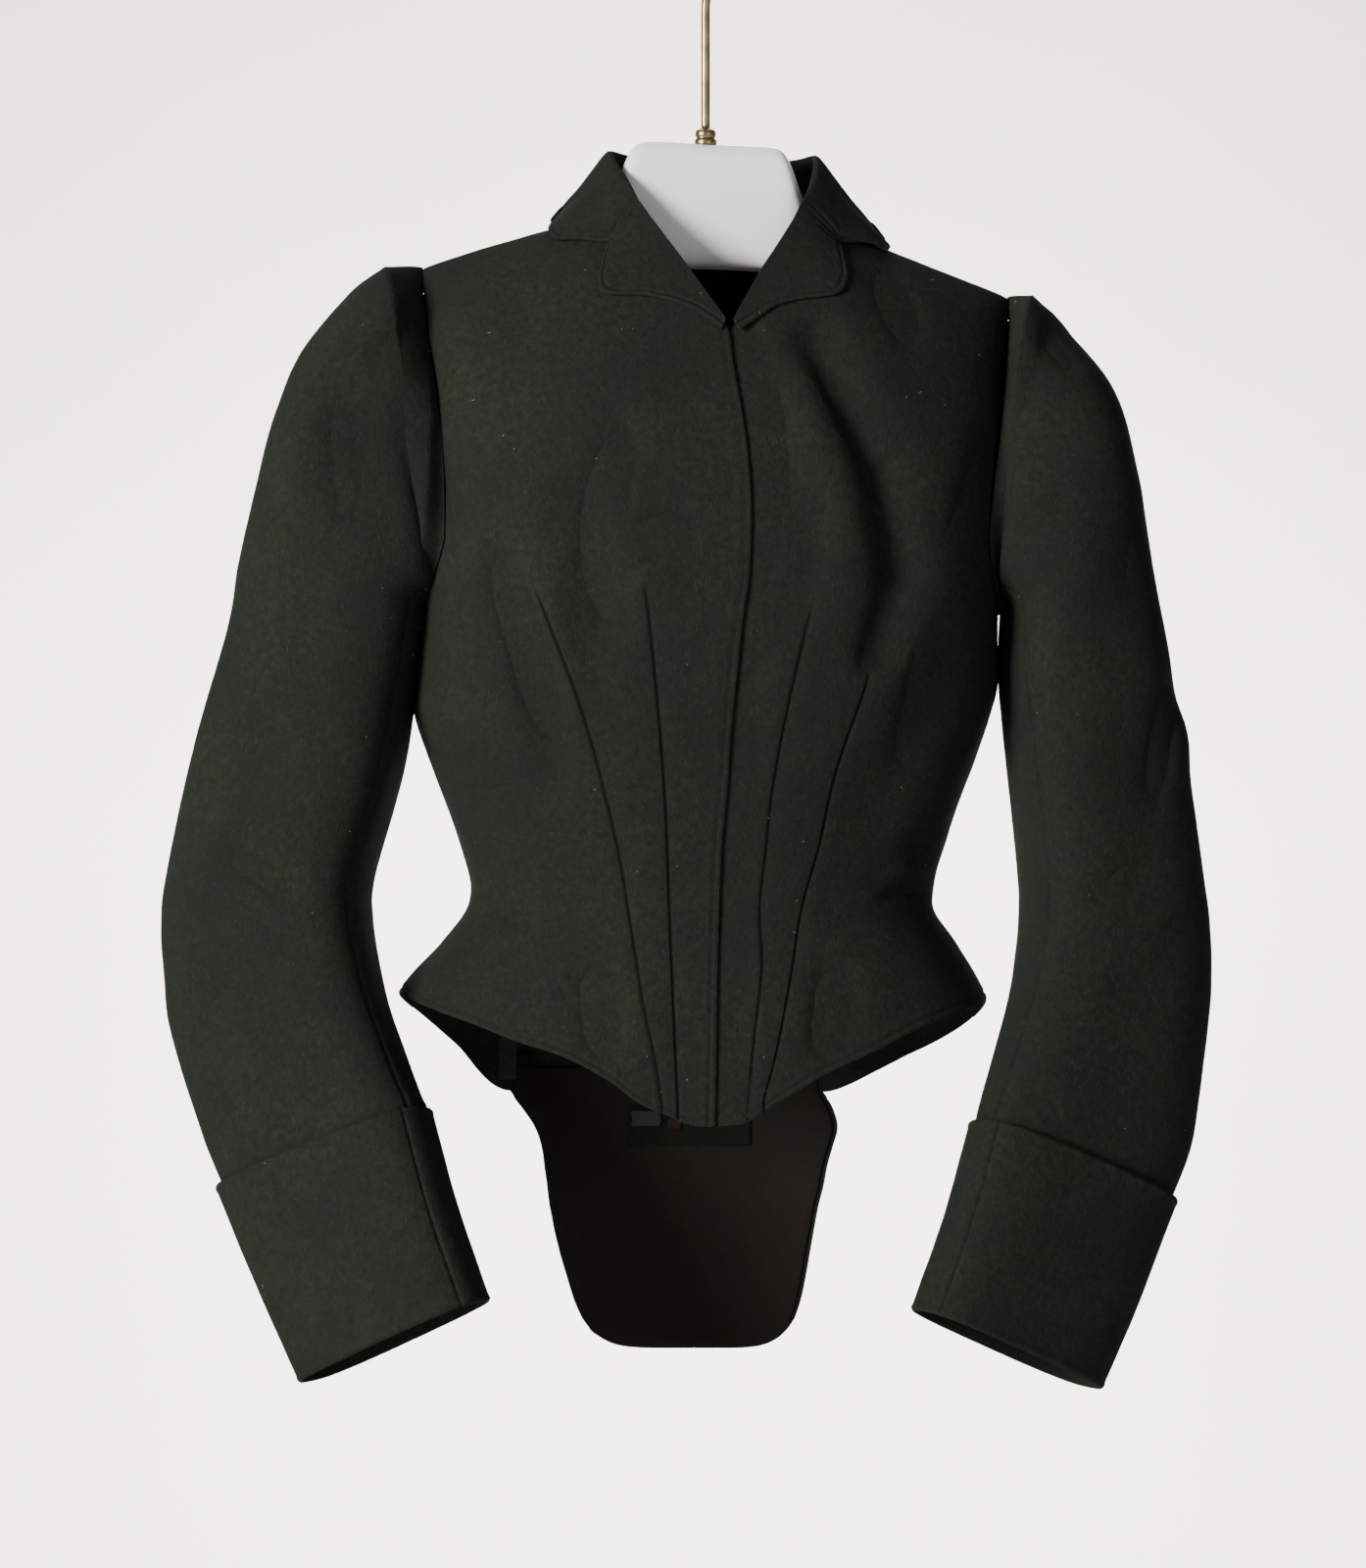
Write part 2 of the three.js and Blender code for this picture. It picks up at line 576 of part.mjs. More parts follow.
const BODY_ROWS = Array.from({ length: 16 }, (_, i) => i / 15);
const UPPER_ROWS = [0, 0.15, 0.3, 0.42, 0.53, 0.61, 0.7, 0.8, 0.89, 0.96, 1];
const TAIL_ROWS = Array.from({ length: 8 }, (_, i) => i / 7);
const SIGN = { right: -1, left: 1 };
const halfGap = SEAM_GAP / 2;

// A seam's foot is found by stepping from a first height towards the hem there.
const HEM_GUESS = -100;
const HEM_STEPS = 12;
const HEM_STEP = 0.6;

// One seam or edge of the lower body: its turn at each share of the way up from the hem.
function seamLine(side, turnOfHeight) {
  let low = turnOfHeight(HEM_GUESS);
  for (let i = 0; i < HEM_STEPS; i += 1) low = mix(low, turnOfHeight(hemAt(low)), HEM_STEP);
  const high = turnOfHeight(ARMHOLE_SHOULDER);
  const heightAtShare = (share) => mix(hemAt(low), chestAt(high, side), share);
  return (share) => turnOfHeight(heightAtShare(share));
}

// Rows of the lower body between two such lines, drawn in by half a gap where they are seams.
function lowerGrid(wall, side, start, end, columns, drawIn, layer) {
  const startEnds = [start(0), start(1)];
  const endEnds = [end(0), end(1)];
  return BODY_ROWS.map((share) => columns.map((column, i) => {
    const low = mix(startEnds[0], endEnds[0], column);
    const high = mix(startEnds[1], endEnds[1], column);
    const height = mix(hemAt(low), chestAt(high, side), share);
    let turn = mix(start(share), end(share), column);
    if (i === 0 && drawIn[0]) turn = moveTurn(turn, height, halfGap);
    if (i === columns.length - 1 && drawIn[1]) turn = moveTurn(turn, height, -halfGap);
    const { lift, thickness } = layer(turn, height);
    return wall.vertex(bodyPoint(turn, height), bodyNormal(turn, height), lift, thickness);
  }));
}

// Rows from the chest up to the shoulder or the neck.
function upperGrid(wall, start, end, columns, top, drawIn, layer) {
  return UPPER_ROWS.map((share) => columns.map((column, i) => {
    let turn = mix(start(share), end(share), column);
    const height = mix(ARMHOLE_SHOULDER, top(turn), share);
    if (i === 0 && drawIn[0]) turn = moveTurn(turn, height, halfGap);
    if (i === columns.length - 1 && drawIn[1]) turn = moveTurn(turn, height, -halfGap);
    const point = bodyPoint(turn, height);
    if (share === 1) point.y += Math.abs(turn) > 1 ? halfGap : -halfGap;
    const { lift, thickness } = layer(turn, height);
    return wall.vertex(point, bodyNormal(turn, height), lift, thickness);
  }));
}

const evenly = (count) => Array.from({ length: count + 1 }, (_, i) => i / count);
const plainLayer = () => ({ lift: 0, thickness: WOOL });

// The left front goes under the right one, so it sinks by a layer near the lap.
function underLayer(turn, height) {
  const across = bareBody(turn, height).x;
  const past = across - read(LAP_EDGE, 'height', height, 'across');
  const depth = (WOOL + 2 * LAYER_GAP) * (1 - ease((past - LAP_CLEARANCE) / LAP_EASE));
  return { lift: -depth, thickness: WOOL };
}

// ---- Fronts -----------------------------------------------------------------------------------

function front(side) {
  const sign = SIGN[side];
  const wall = new Wall();
  const layer = side === 'right' ? plainLayer : underLayer;
  const under = side === 'right' ? 0 : UNDERLAP;
  const lap = (share) => {
    const height = mix(hemAt(LAP_TURN), ARMHOLE_SHOULDER, share);
    return turnAt(read(LAP_EDGE, 'height', height, 'across') - under, height, false);
  };
  const sideSeam = seamLine(side, () => sign * SIDE_SEAM_TURN);
  const armLine = seamLine(side, () => sign * ARMHOLE[side][0].front);
  const armEdge = (share) => sign * read(ARMHOLE[side], 'share', share, 'front');
  const neckRows = side === 'right' ? NECK_EDGE_RIGHT : NECK_EDGE_LEFT;
  const neckEdge = (share) => {
    if (share === 0) return lap(1);
    const height = mix(ARMHOLE_SHOULDER, NECK_TOP, share);
    return turnAt(read(neckRows, 'share', share, 'across'), height, false);
  };
  if (side === 'right') {
    wall.grid(lowerGrid(wall, side, sideSeam, armLine, evenly(6), [true, false], layer));
    wall.grid(lowerGrid(wall, side, armLine, lap, evenly(11), [false, false], layer));
    wall.grid(upperGrid(wall, armEdge, neckEdge, evenly(11), shoulderHeight, [false, false], layer));
  } else {
    wall.grid(lowerGrid(wall, side, lap, armLine, evenly(11), [false, false], layer));
    wall.grid(lowerGrid(wall, side, armLine, sideSeam, evenly(6), [false, true], layer));
    wall.grid(upperGrid(wall, neckEdge, armEdge, evenly(11), shoulderHeight, [false, false], layer));
  }
  add(`front_${side}`, wall.geometry(), MATERIALS.wool);
}

// ---- Side backs and backs -----------------------------------------------------------------------

const backSeamTurn = (side) => (height) => {
  const across = read(BACK_SEAM[side], 'height', height, 'across');
  return turnAt(across, height, true);
};

function backSeam(side) {
  const line = seamLine(side, backSeamTurn(side));
  const top = SIGN[side] * ARMHOLE[side][0].back;
  return (share) => (share === 1 ? top : line(share));
}

function sideBack(side) {
  const sign = SIGN[side];
  const wall = new Wall();
  const sideSeam = seamLine(side, () => sign * SIDE_SEAM_TURN);
  const ends = side === 'right' ? [backSeam(side), sideSeam] : [sideSeam, backSeam(side)];
  wall.grid(lowerGrid(wall, side, ends[0], ends[1], evenly(5), [true, true], plainLayer));
  add(`side_back_${side}`, wall.geometry(), MATERIALS.wool);
}

// The neck edge of the backs, below the shoulder line near the middle.
function backTop(turn) {
  const across = bareBody(turn, SHOULDER_RING).x;
  const inside = across > BACK_NECK[0].across && across < BACK_NECK[BACK_NECK.length - 1].across;
  if (!inside) return shoulderHeight(turn);
  return Math.min(shoulderHeight(turn), read(BACK_NECK, 'across', across, 'height'));
}

function tailGrid(wall, side, columns) {
  const sign = SIGN[side];
  const seamAtHem = backSeam(side)(0);
  const edgeTurn = (share) => {
    const height = mix(TAIL_END + TAIL_CORNER.rise, hemAt(seamAtHem), share);
    return turnAt(read(TAIL_EDGE, 'height', height, side), height, true);
  };
  return TAIL_ROWS.map((share) => columns.map((column, i) => {
    const upper = mix(sign * 2, seamAtHem, column);
    const lowest = TAIL_END + TAIL_CORNER.rise * column ** TAIL_CORNER.power;
    const height = mix(lowest, hemAt(upper), share);
    let turn = mix(sign * 2, share === 1 ? seamAtHem : edgeTurn(share), column);
    if (i === 0) turn = moveTurn(turn, height, -sign * halfGap);
    if (i === columns.length - 1 && share === 1) turn = moveTurn(turn, height, sign * halfGap);
    return wall.vertex(bodyPoint(turn, height), bodyNormal(turn, height), 0, WOOL);
  }));
}

function back(side) {
  const sign = SIGN[side];
  const wall = new Wall();
  const middle = () => sign * 2;
  const armEdge = (share) => sign * read(ARMHOLE[side], 'share', share, 'back');
  const columns = evenly(8);
  const tail = tailGrid(wall, side, columns);
  if (side === 'right') {
    wall.grid(tail);
    wall.grid(lowerGrid(wall, side, middle, backSeam(side), columns, [true, true], plainLayer));
    wall.grid(upperGrid(wall, middle, armEdge, columns, backTop, [true, false], plainLayer));
  } else {
    wall.grid(tail.map((row) => [...row].reverse()));
    wall.grid(lowerGrid(wall, side, backSeam(side), middle, columns, [true, true], plainLayer));
    wall.grid(upperGrid(wall, armEdge, middle, columns, backTop, [false, true], plainLayer));
  }
  add(`back_${side}`, wall.geometry(), MATERIALS.wool);
}

// ---- Sleeves and cuffs ------------------------------------------------------------------------

const ROUND = 24;
const HEAD_ROWS = 3;
const HEAD_SEAM_GAP = 0.9;
const ARMHOLE_GAP = 0.8;
const FRONT_SEAM = 10;
const BACK_SEAM_COLUMN = 22;
const SLEEVE_RUNS = [0, 0.5, 1, 2, 3, 4, 5, 6, 7, 7.5, 8, 8.5, 9, 10, 11, 12, 12.5, 13, 14, 15, 16];

const rounded = (value) => Math.sign(value) * Math.abs(value) ** (2 / SLEEVE_SQUARENESS);

function sectionPoint(rows, run, angle) {
  const at = (wanted, where = run) => read(rows, 'run', where, wanted);
  const ends = (where) => [
    new THREE.Vector3(at('ox', where), at('oy', where), heightOf(at('oz', where))),
    new THREE.Vector3(at('ix', where), at('iy', where), heightOf(at('iz', where))),
  ];
  const centre = (where) => {
    const [outer, inner] = ends(where);
    return outer.add(inner).multiplyScalar(0.5);
  };
  const [outer, inner] = ends(run);
  const long = outer.clone().sub(inner).multiplyScalar(0.5);
  const last = rows[rows.length - 1].run;
  const first = rows[0].run;
  const axis = centre(Math.min(run + 0.3, last)).sub(centre(Math.max(run - 0.3, first)));
  const short = axis.cross(long).normalize().multiplyScalar(at('depth'));
  if (short.y > 0) short.negate();
  return outer.add(inner).multiplyScalar(0.5)
    .addScaledVector(long, rounded(Math.cos(angle)))
    .addScaledVector(short, rounded(Math.sin(angle)));
}

// A point of the armhole's edge at the height of a sleeve point there.
function armholePoint(side, angle) {
  const sign = SIGN[side];
  const top = shoulderHeight(sign * ARMHOLE[side][4 - (side === 'left')].front);
  const height = mix(ARMHOLE_BOTTOM, top, 0.5 + 0.5 * Math.cos(angle));
  const edge = Math.sin(angle) >= 0 ? 'front' : 'back';
  const { front: frontTurn, back: backTurn } = ARMHOLE[side][0];
  let turn;
  if (height > ARMHOLE_SHOULDER) {
    turn = read(ARMHOLE[side], 'share', (height - ARMHOLE_SHOULDER) / (top - ARMHOLE_SHOULDER), edge);
  } else {
    const dip = (ARMHOLE_SHOULDER - height) / (ARMHOLE_SHOULDER - ARMHOLE_BOTTOM);
    const swing = Math.sqrt(Math.max(0, 1 - dip ** (1 / ARMHOLE_CURVE))) * (backTurn - frontTurn) / 2;
    turn = (frontTurn + backTurn) / 2 + (edge === 'front' ? -swing : swing);
  }
  const point = bareBody(sign * turn, Math.min(height, shoulderHeight(sign * turn)));
  point.x += sign * ARMHOLE_GAP;
  return point;
}

function tubeGrid(pointAt, runs) {
  const angles = evenly(ROUND).slice(0, ROUND).map((share) => share * 2 * Math.PI);
  const points = runs.map((run) => angles.map((angle) => pointAt(run, angle)));
  const normals = points.map((row) => {
    const centre = new THREE.Vector3();
    for (const point of row) centre.addScaledVector(point, 1 / ROUND);
    const axis = new THREE.Vector3();
    row.forEach((point, k) => {
      const next = row[(k + 1) % ROUND].clone().sub(centre);
      axis.add(point.clone().sub(centre).cross(next));
    });
    return row.map((_, k) => {
      const round = row[(k + 1) % ROUND].clone().sub(row[(k + ROUND - 1) % ROUND]);
      return round.cross(axis).normalize();
    });
  });
  return { points, normals };
}

// The columns of a tube from one to another, drawn in by half a gap at both if it is a strip.
function tubeWall(grid, from, to, thickness, side) {
  const wall = new Wall();
  const strip = to - from < ROUND;
  const rows = grid.points.map((row, r) => {
    const numbers = [];
    for (let k = from; k <= to; k += 1) {
      const point = row[k % ROUND].clone();
      const inside = k === from ? row[(k + 1) % ROUND] : row[(k + ROUND - 1) % ROUND];
      if (strip && (k === from || k === to)) {
        const drawn = r < HEAD_ROWS ? HEAD_SEAM_GAP : halfGap;
        point.addScaledVector(inside.clone().sub(point).normalize(), drawn);
      }
      numbers.push(wall.vertex(point, grid.normals[r][k % ROUND], 0, thickness));
    }
    return numbers;
  });
  wall.grid(side === 'right' ? rows.reverse() : rows);
  return wall.geometry();
}

function sleeve(side) {
  const rows = SLEEVE[side];
  const pointAt = (run, angle) => {
    if (run >= 1) return sectionPoint(rows, run, angle);
    return armholePoint(side, angle).lerp(sectionPoint(rows, 1, angle), ease(run));
  };
  const grid = tubeGrid(pointAt, SLEEVE_RUNS);
  const top = tubeWall(grid, BACK_SEAM_COLUMN, FRONT_SEAM + ROUND, WOOL, side);
  const under = tubeWall(grid, FRONT_SEAM, BACK_SEAM_COLUMN, WOOL, side);
  add(`top_sleeve_${side}`, top, MATERIALS.wool);
  add(`under_sleeve_${side}`, under, MATERIALS.wool);
}

function cuff(side) {
  const runs = evenly(6).map((share) => share * 2);
  const grid = tubeGrid((run, angle) => sectionPoint(CUFF[side], run, angle), runs);
  add(`cuff_${side}`, tubeWall(grid, 0, ROUND, CUFF_WOOL, side), MATERIALS.wool);
}

// ---- Collar and lapels --------------------------------------------------------------------------

// A point on top of the body's cloth, at a distance across and a height.
function onBody(across, height, behind, rise) {
  const turn = turnAt(across, Math.min(height, TURN_CEILING), behind);
  const level = Math.min(height, shoulderHeight(turn));
  return bareBody(turn, level).addScaledVector(bodyNormal(turn, level), rise);
}

function collar() {
  const layer = WOOL + LAYER_GAP;
  const lastRun = COLLAR_EDGE.length - 1;
  const up = (distance) => new THREE.Vector3(0, 0, distance);
  const lines = evenly(2 * lastRun).map((share) => {
    const run = share * lastRun;
    const at = (rows, wanted) => read(rows, 'run', run, wanted);
    const place = (rows) => new THREE.Vector3(at(rows, 'x'), at(rows, 'y'), heightOf(at(rows, 'z')));
    const behind = run > COLLAR_BEHIND && run < lastRun - COLLAR_BEHIND;
    const rise = layer + COLLAR_EASE * LAYER_GAP;
    const edge = onBody(at(COLLAR_EDGE, 'x'), at(COLLAR_EDGE, 'z'), behind, rise);
    const crest = place(COLLAR_CREST);
    const seam = place(COLLAR_SEAM);
    const outward = new THREE.Vector3(crest.x - NECK_CENTRE, crest.y, 0).normalize();
    const beside = (out, rising) => crest.clone().addScaledVector(outward, out).add(up(rising));
    const end = clamp(1 - Math.min(run, lastRun - run));
    const { across, height } = run < lastRun / 2 ? NOTCH.right : NOTCH.left;
    const corner = onBody(across, height, false, layer);
    const falling = beside(CREST_ROLL.outside, -CREST_ROLL.outsideDrop)
      .lerp(crest.clone().lerp(corner, END_FALL), end);
    const standing = beside(-CREST_ROLL.inside, -CREST_ROLL.insideDrop);
    const fall = edge.clone().lerp(falling, 0.5);
    fall.addScaledVector(outward, COLLAR_BULGE).add(up(COLLAR_BULGE));
    const notch = fall.lerp(corner, end);
    return [
      edge,
      edge.clone().lerp(notch, 0.5).add(up(1 - end)),
      notch,
      notch.clone().lerp(falling, 0.5).add(up(COLLAR_BULGE / 3)),
      falling,
      crest,
      standing,
      standing.clone().lerp(seam, 0.5),
      seam,
    ];
  });
  const wall = new Wall();
  const last = lines.length - 1;
  wall.grid(lines.map((line, r) => line.map((point, c) => {
    const across = line[Math.min(c + 1, line.length - 1)].clone().sub(line[Math.max(c - 1, 0)]);
    const round = lines[Math.min(r + 1, last)][c].clone().sub(lines[Math.max(r - 1, 0)][c]);
    return wall.vertex(point, across.cross(round).normalize(), 0, WOOL);
  })));
  add('collar', wall.geometry(), MATERIALS.wool);
}

const LAPEL_COLUMNS = 6;
const LAPEL_LINES = 12;

function lapel(side) {
  const wall = new Wall();
  const columns = evenly(LAPEL_COLUMNS);
  const lines = evenly(LAPEL_LINES).map((share) => {
    const at = (wanted) => read(LAPEL[side], 'share', share, wanted);
    const edge = onBody(at('edgeX'), at('edgeZ'), false, LAYER_GAP);
    const depth = mix(ROLL_DEPTH.breakPoint, ROLL_DEPTH.gorge, share);
    const roll = new THREE.Vector3(at('rollX'), depth, heightOf(at('rollZ')));
    return columns.map((column) => {
      const point = edge.clone().lerp(roll, column);
      const height = point.z + WAIST_BELOW_HOOK;
      const turn = turnAt(point.x, height, false);
      if (height < shoulderHeight(turn)) {
        const rise = LAYER_GAP / Math.max(0.5, Math.abs(bodyNormal(turn, height).y));
        point.y = Math.min(point.y, bareBody(turn, height).y - rise);
      }
      return point;
    });
  });
  const last = lines.length - 1;
  const turned = side === 'right' ? 1 : -1;
  const rows = lines.map((line, r) => line.map((point, c) => {
    const across = line[Math.min(c + 1, LAPEL_COLUMNS)].clone().sub(line[Math.max(c - 1, 0)]);
    const along = lines[Math.min(r + 1, last)][c].clone().sub(lines[Math.max(r - 1, 0)][c]);
    return wall.vertex(point, across.cross(along).normalize().multiplyScalar(turned), WOOL, WOOL);
  }));
  wall.grid(side === 'right' ? rows : rows.map((row) => [...row].reverse()));
  add(`lapel_${side}`, wall.geometry(), MATERIALS.wool);
}

// ---- Linings and tape ---------------------------------------------------------------------------

// A patch laid inside the tail, made from the backs' points moved in.
function tailPatch(name, material, rows, columns, edges, lift, thickness) {
  const wall = new Wall();
  wall.grid(rows.map((height) => columns.map((column) => {
    const across = mix(edges(height)[0], edges(height)[1], column);
    const turn = turnAt(across, height, true);
    const continuous = turn < 0 ? turn + 4 : turn;
    return wall.vertex(bodyPoint(continuous, height), bodyNormal(continuous, height), lift, thickness);
  })).reverse());
  add(name, wall.geometry(), material);
}

function tailLining() {
  const rows = evenly(8).map((share) => mix(TAIL_LINING.low, TAIL_LINING.high, share));
  const edges = (height) => {
    const rise = TAIL_CORNER.rise - TAIL_LINING.margin;
    const corner = TAIL_END + TAIL_LINING.margin + rise - height;
    const margin = TAIL_LINING.margin + TAIL_LINING.corner * clamp(corner / rise) ** 3;
    return [
      read(TAIL_EDGE, 'height', height, 'right') + margin,
      read(TAIL_EDGE, 'height', height, 'left') - margin,
    ];
  };
  tailPatch('tail_lining', MATERIALS.lining, rows, evenly(10), edges, -WOOL - LAYER_GAP, LINING);
}

function tailBand() {
  const rows = evenly(2).map((share) => mix(TAIL_BAND.low, TAIL_BAND.high, share));
  const edges = () => [TAIL_BAND.right, TAIL_BAND.left];
  const lift = -WOOL - LINING - 2 * LAYER_GAP;
  tailPatch('tail_band', MATERIALS.band, rows, evenly(6), edges, lift, LINING);
}

function seamTape() {
  const rows = evenly(3).map((share) => mix(SEAM_TAPE.low, SEAM_TAPE.high, share));
  const edges = () => [SEAM_TAPE.right, SEAM_TAPE.left];
  tailPatch('seam_tape', MATERIALS.tape, rows, evenly(1), edges, -WOOL - LAYER_GAP, LINING);
}

// ---- Hanger -----------------------------------------------------------------------------------

function hangerBody() {
  const round = 20;
  const positions = [];
  const triangles = [];
  for (const section of HANGER) {
    const middle = (section.top + section.under) / 2;
    const tall = (section.top - section.under) / 2;
    for (let k = 0; k < round; k += 1) {
      const angle = k * 2 * Math.PI / round;
      const [c, s] = [Math.cos(angle), Math.sin(angle)];
      const power = 2 / section.squareness;
      const y = section.depth * Math.sign(c) * Math.abs(c) ** power;
      const z = middle + tall * Math.sign(s) * Math.abs(s) ** power;
      positions.push(section.across, y, heightOf(z));
    }
  }
  const count = HANGER.length;
  for (let r = 0; r + 1 < count; r += 1) {
    for (let k = 0; k < round; k += 1) {
      const [a, b] = [r * round + k, r * round + (k + 1) % round];
      triangles.push(a, b, b + round, a, b + round, a + round);
    }
  }
  for (let k = 1; k + 1 < round; k += 1) {
    const end = (count - 1) * round;
    triangles.push(0, k + 1, k, end, end + k, end + k + 1);
  }
  const geometry = new THREE.BufferGeometry();
  geometry.setAttribute('position', new THREE.Float32BufferAttribute(positions, 3));
  geometry.setIndex(triangles);
  geometry.computeVertexNormals();
  add('hanger_body', geometry, MATERIALS.satin);
}

function ferrule() {
  const profile = [
    [0, 0], [6.2, 0], [6.2, 3.2], [5.2, 3.8], [5.2, 4.6],
    [5.8, 5.2], [5.8, 7.8], [4.6, FERRULE_HEIGHT], [0, FERRULE_HEIGHT],
  ].map(([r, z]) => new THREE.Vector2(r, z));
  const geometry = new THREE.LatheGeometry(profile, 20);
  geometry.rotateX(Math.PI / 2);
  const mesh = add('hanger_ferrule', geometry, MATERIALS.brass);
  mesh.position.z = heightOf(HANGER_TOP + LAYER_GAP);
}

function hook() {
  const radius = HOOK_INNER_RADIUS + ROD_RADIUS;
  const foot = heightOf(HANGER_TOP + FERRULE_HEIGHT + LAYER_GAP + SEAM_GAP);
  const crown = (degrees) => {
    const angle = degrees * Math.PI / 180;
    return new THREE.Vector3(radius * Math.cos(angle), 0, radius * Math.sin(angle) - HOOK_INNER_RADIUS);
  };
  const line = new THREE.CurvePath();
  const bend = new THREE.Vector3(0, 0, HOOK_BEND.top);
  line.add(new THREE.LineCurve3(new THREE.Vector3(0, 0, foot), bend));
  const joinStart = crown(HOOK_BEND.from);
  line.add(new THREE.CubicBezierCurve3(
    bend,
    new THREE.Vector3(0, 0, HOOK_BEND.top + HOOK_BEND.lead),
    new THREE.Vector3(joinStart.x - HOOK_BEND.inward, 0, joinStart.z - HOOK_BEND.drop),
    joinStart,
  ));
  const turns = evenly(16).map((share) => mix(HOOK_BEND.from, HOOK_BEND.to, share));
  line.add(new THREE.CatmullRomCurve3(turns.map(crown)));
  const section = new THREE.Shape();
  section.absarc(0, 0, ROD_RADIUS, 0, 2 * Math.PI);
  const geometry = new THREE.ExtrudeGeometry(section, {
    steps: 40, curveSegments: 6, bevelEnabled: false, extrudePath: line,
  });
  add('hanger_hook', geometry, MATERIALS.brass);
}

// ---- The whole part ---------------------------------------------------------------------------

for (const side of ['right', 'left']) {
  front(side);
  sideBack(side);
  back(side);
  lapel(side);
  sleeve(side);
  cuff(side);
}
collar();
tailLining();
tailBand();
seamTape();
hangerBody();
ferrule();
hook();

export default part;
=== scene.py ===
"""Looks of a riding habit jacket of dark felted wool, hanging on a moulded hanger.

The tables are in millimetres and follow the frame: +Z is up, +X is the wearer's left, -Y is
the front and the origin is the crown of the hook. Heights in the tables are above the waist.
"""

import json
import math

import bpy
import numpy as np
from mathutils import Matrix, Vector

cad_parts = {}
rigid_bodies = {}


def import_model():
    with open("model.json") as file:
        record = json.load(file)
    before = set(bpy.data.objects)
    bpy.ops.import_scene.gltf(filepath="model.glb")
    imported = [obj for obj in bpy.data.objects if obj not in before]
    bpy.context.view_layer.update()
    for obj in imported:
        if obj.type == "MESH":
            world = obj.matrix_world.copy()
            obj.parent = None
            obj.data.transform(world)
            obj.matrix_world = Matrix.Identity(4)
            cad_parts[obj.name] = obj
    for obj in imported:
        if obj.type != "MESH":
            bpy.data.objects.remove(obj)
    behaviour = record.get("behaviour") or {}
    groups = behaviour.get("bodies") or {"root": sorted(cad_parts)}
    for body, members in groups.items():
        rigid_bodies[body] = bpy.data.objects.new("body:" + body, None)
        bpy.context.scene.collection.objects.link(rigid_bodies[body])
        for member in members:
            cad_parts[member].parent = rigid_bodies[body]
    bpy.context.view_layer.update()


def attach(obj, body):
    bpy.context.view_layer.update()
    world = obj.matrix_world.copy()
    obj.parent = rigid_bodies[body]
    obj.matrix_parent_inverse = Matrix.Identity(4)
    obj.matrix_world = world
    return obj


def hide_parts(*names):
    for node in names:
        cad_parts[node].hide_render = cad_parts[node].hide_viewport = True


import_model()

bl_info = {
    "name": "Riding habit jacket",
    "version": (1, 0, 0),
    "blender": (4, 5, 0),
    "location": "View3D > Sidebar > Habit",
    "description": "Sews a felted wool riding habit jacket over its fixed frame",
    "category": "Object",
}

MM = 0.001


# ---- Tables ---------------------------------------------------------------------------------


def table(names, text):
    """A table of numbers as named columns, from lines of text."""
    rows = [[float(word) for word in line.split()] for line in text.strip().splitlines()]
    return dict(zip(names.split(), np.array(rows).T))


WAIST_BELOW_HOOK = 560
WOOL = 1.8
CUFF_WOOL = 2.6
LINING = 1.0
SEAM_GAP = 0.06
LAYER_GAP = 0.4
BODY_BASE = 150
ARMHOLE_BOTTOM = 158
ARMHOLE_SHOULDER = 200
ARMHOLE_CURVE = 0.75
HEAD_FULLNESS = 4.5
UNDERLAP = 20
LAP_TURN = 0.03
LAP_CLEARANCE = 3
LAP_EASE = 24
SLEEVE_FLATNESS = 0.76
SLEEVE_NARROWING = 0.968
SLEEVE_SQUARENESS = 2.25
NECK_CENTRE = 5
NECK_TOP = 384
SHOULDER_RING = 300
TURN_CEILING = 350
SIDE_SEAM_TURN = 1.22
TAIL_END = -264
TAIL_CORNER_RISE = 18
TAIL_CORNER_POWER = 5.5
FOLD_LEAN = (200, -0.9)
SIGN = {"right": -1, "left": 1}

# The closed ring of the body at each height.
TORSO = table(
    "height middle half front back squareness",
    """
    -262 -6 186 84 88 2.3
    -110 -7 183 84 80 2.3
    -52 -7.8 163.8 80 72 2.3
    -25 -3.8 144.2 76 64 2.3
    -8 -3.2 131.6 73 60 2.3
    3 -2 129.7 72 58 2.3
    14 -1.5 131.7 73 59 2.3
    47 -2 141.8 79 65 2.4
    79 -2 154.6 86 72 2.5
    104 -1.8 163.3 91 76 2.6
    120 0.5 165 92.5 78 2.6
    160 2.3 163.3 94 80 2.6
    250 5 165 91 82 2.6
    400 5 165 86 79 2.6
    """,
)
SHOULDER = table(
    "across height",
    """
    -190 343.6
    -160 353.2
    -123 364.8
    -86 375
    -60 381
    0 384
    70 376
    93 367
    170 337
    200 327
    """,
)
# Turn 0 is the front middle, 1 the wearer's left side and 2 the back middle.
HEM = table(
    "turn height",
    """
    -2.0 -113
    -1.6 -113
    -1.45 -86
    -1.26 -66
    -1.0 -54
    -0.846 -54.4
    -0.683 -59.4
    -0.5 -68
    -0.353 -78.5
    -0.253 -86
    -0.161 -98.5
    -0.102 -110.5
    -0.053 -116.5
    0.0 -122.5
    0.085 -122
    0.11 -119.5
    0.162 -110.5
    0.252 -96.5
    0.365 -84.5
    0.535 -69.5
    0.731 -61
    0.91 -57
    1.0 -57
    1.216 -68.5
    1.5 -91
    1.6 -101.5
    1.69 -112
    1.73 -114.5
    2.0 -113
    """,
)
# The free edge of the right front: the lap, then the roll line of the lapel.
LAP_EDGE = table(
    "height across",
    """
    -124 5
    -62 6
    -16 7
    31 9
    57 11.5
    93 14
    128 17.5
    152 20
    176 23.5
    204 24.5
    233 23.5
    272 18.5
    311 12
    331 0.5
    347 -10.5
    364 -22
    """,
)
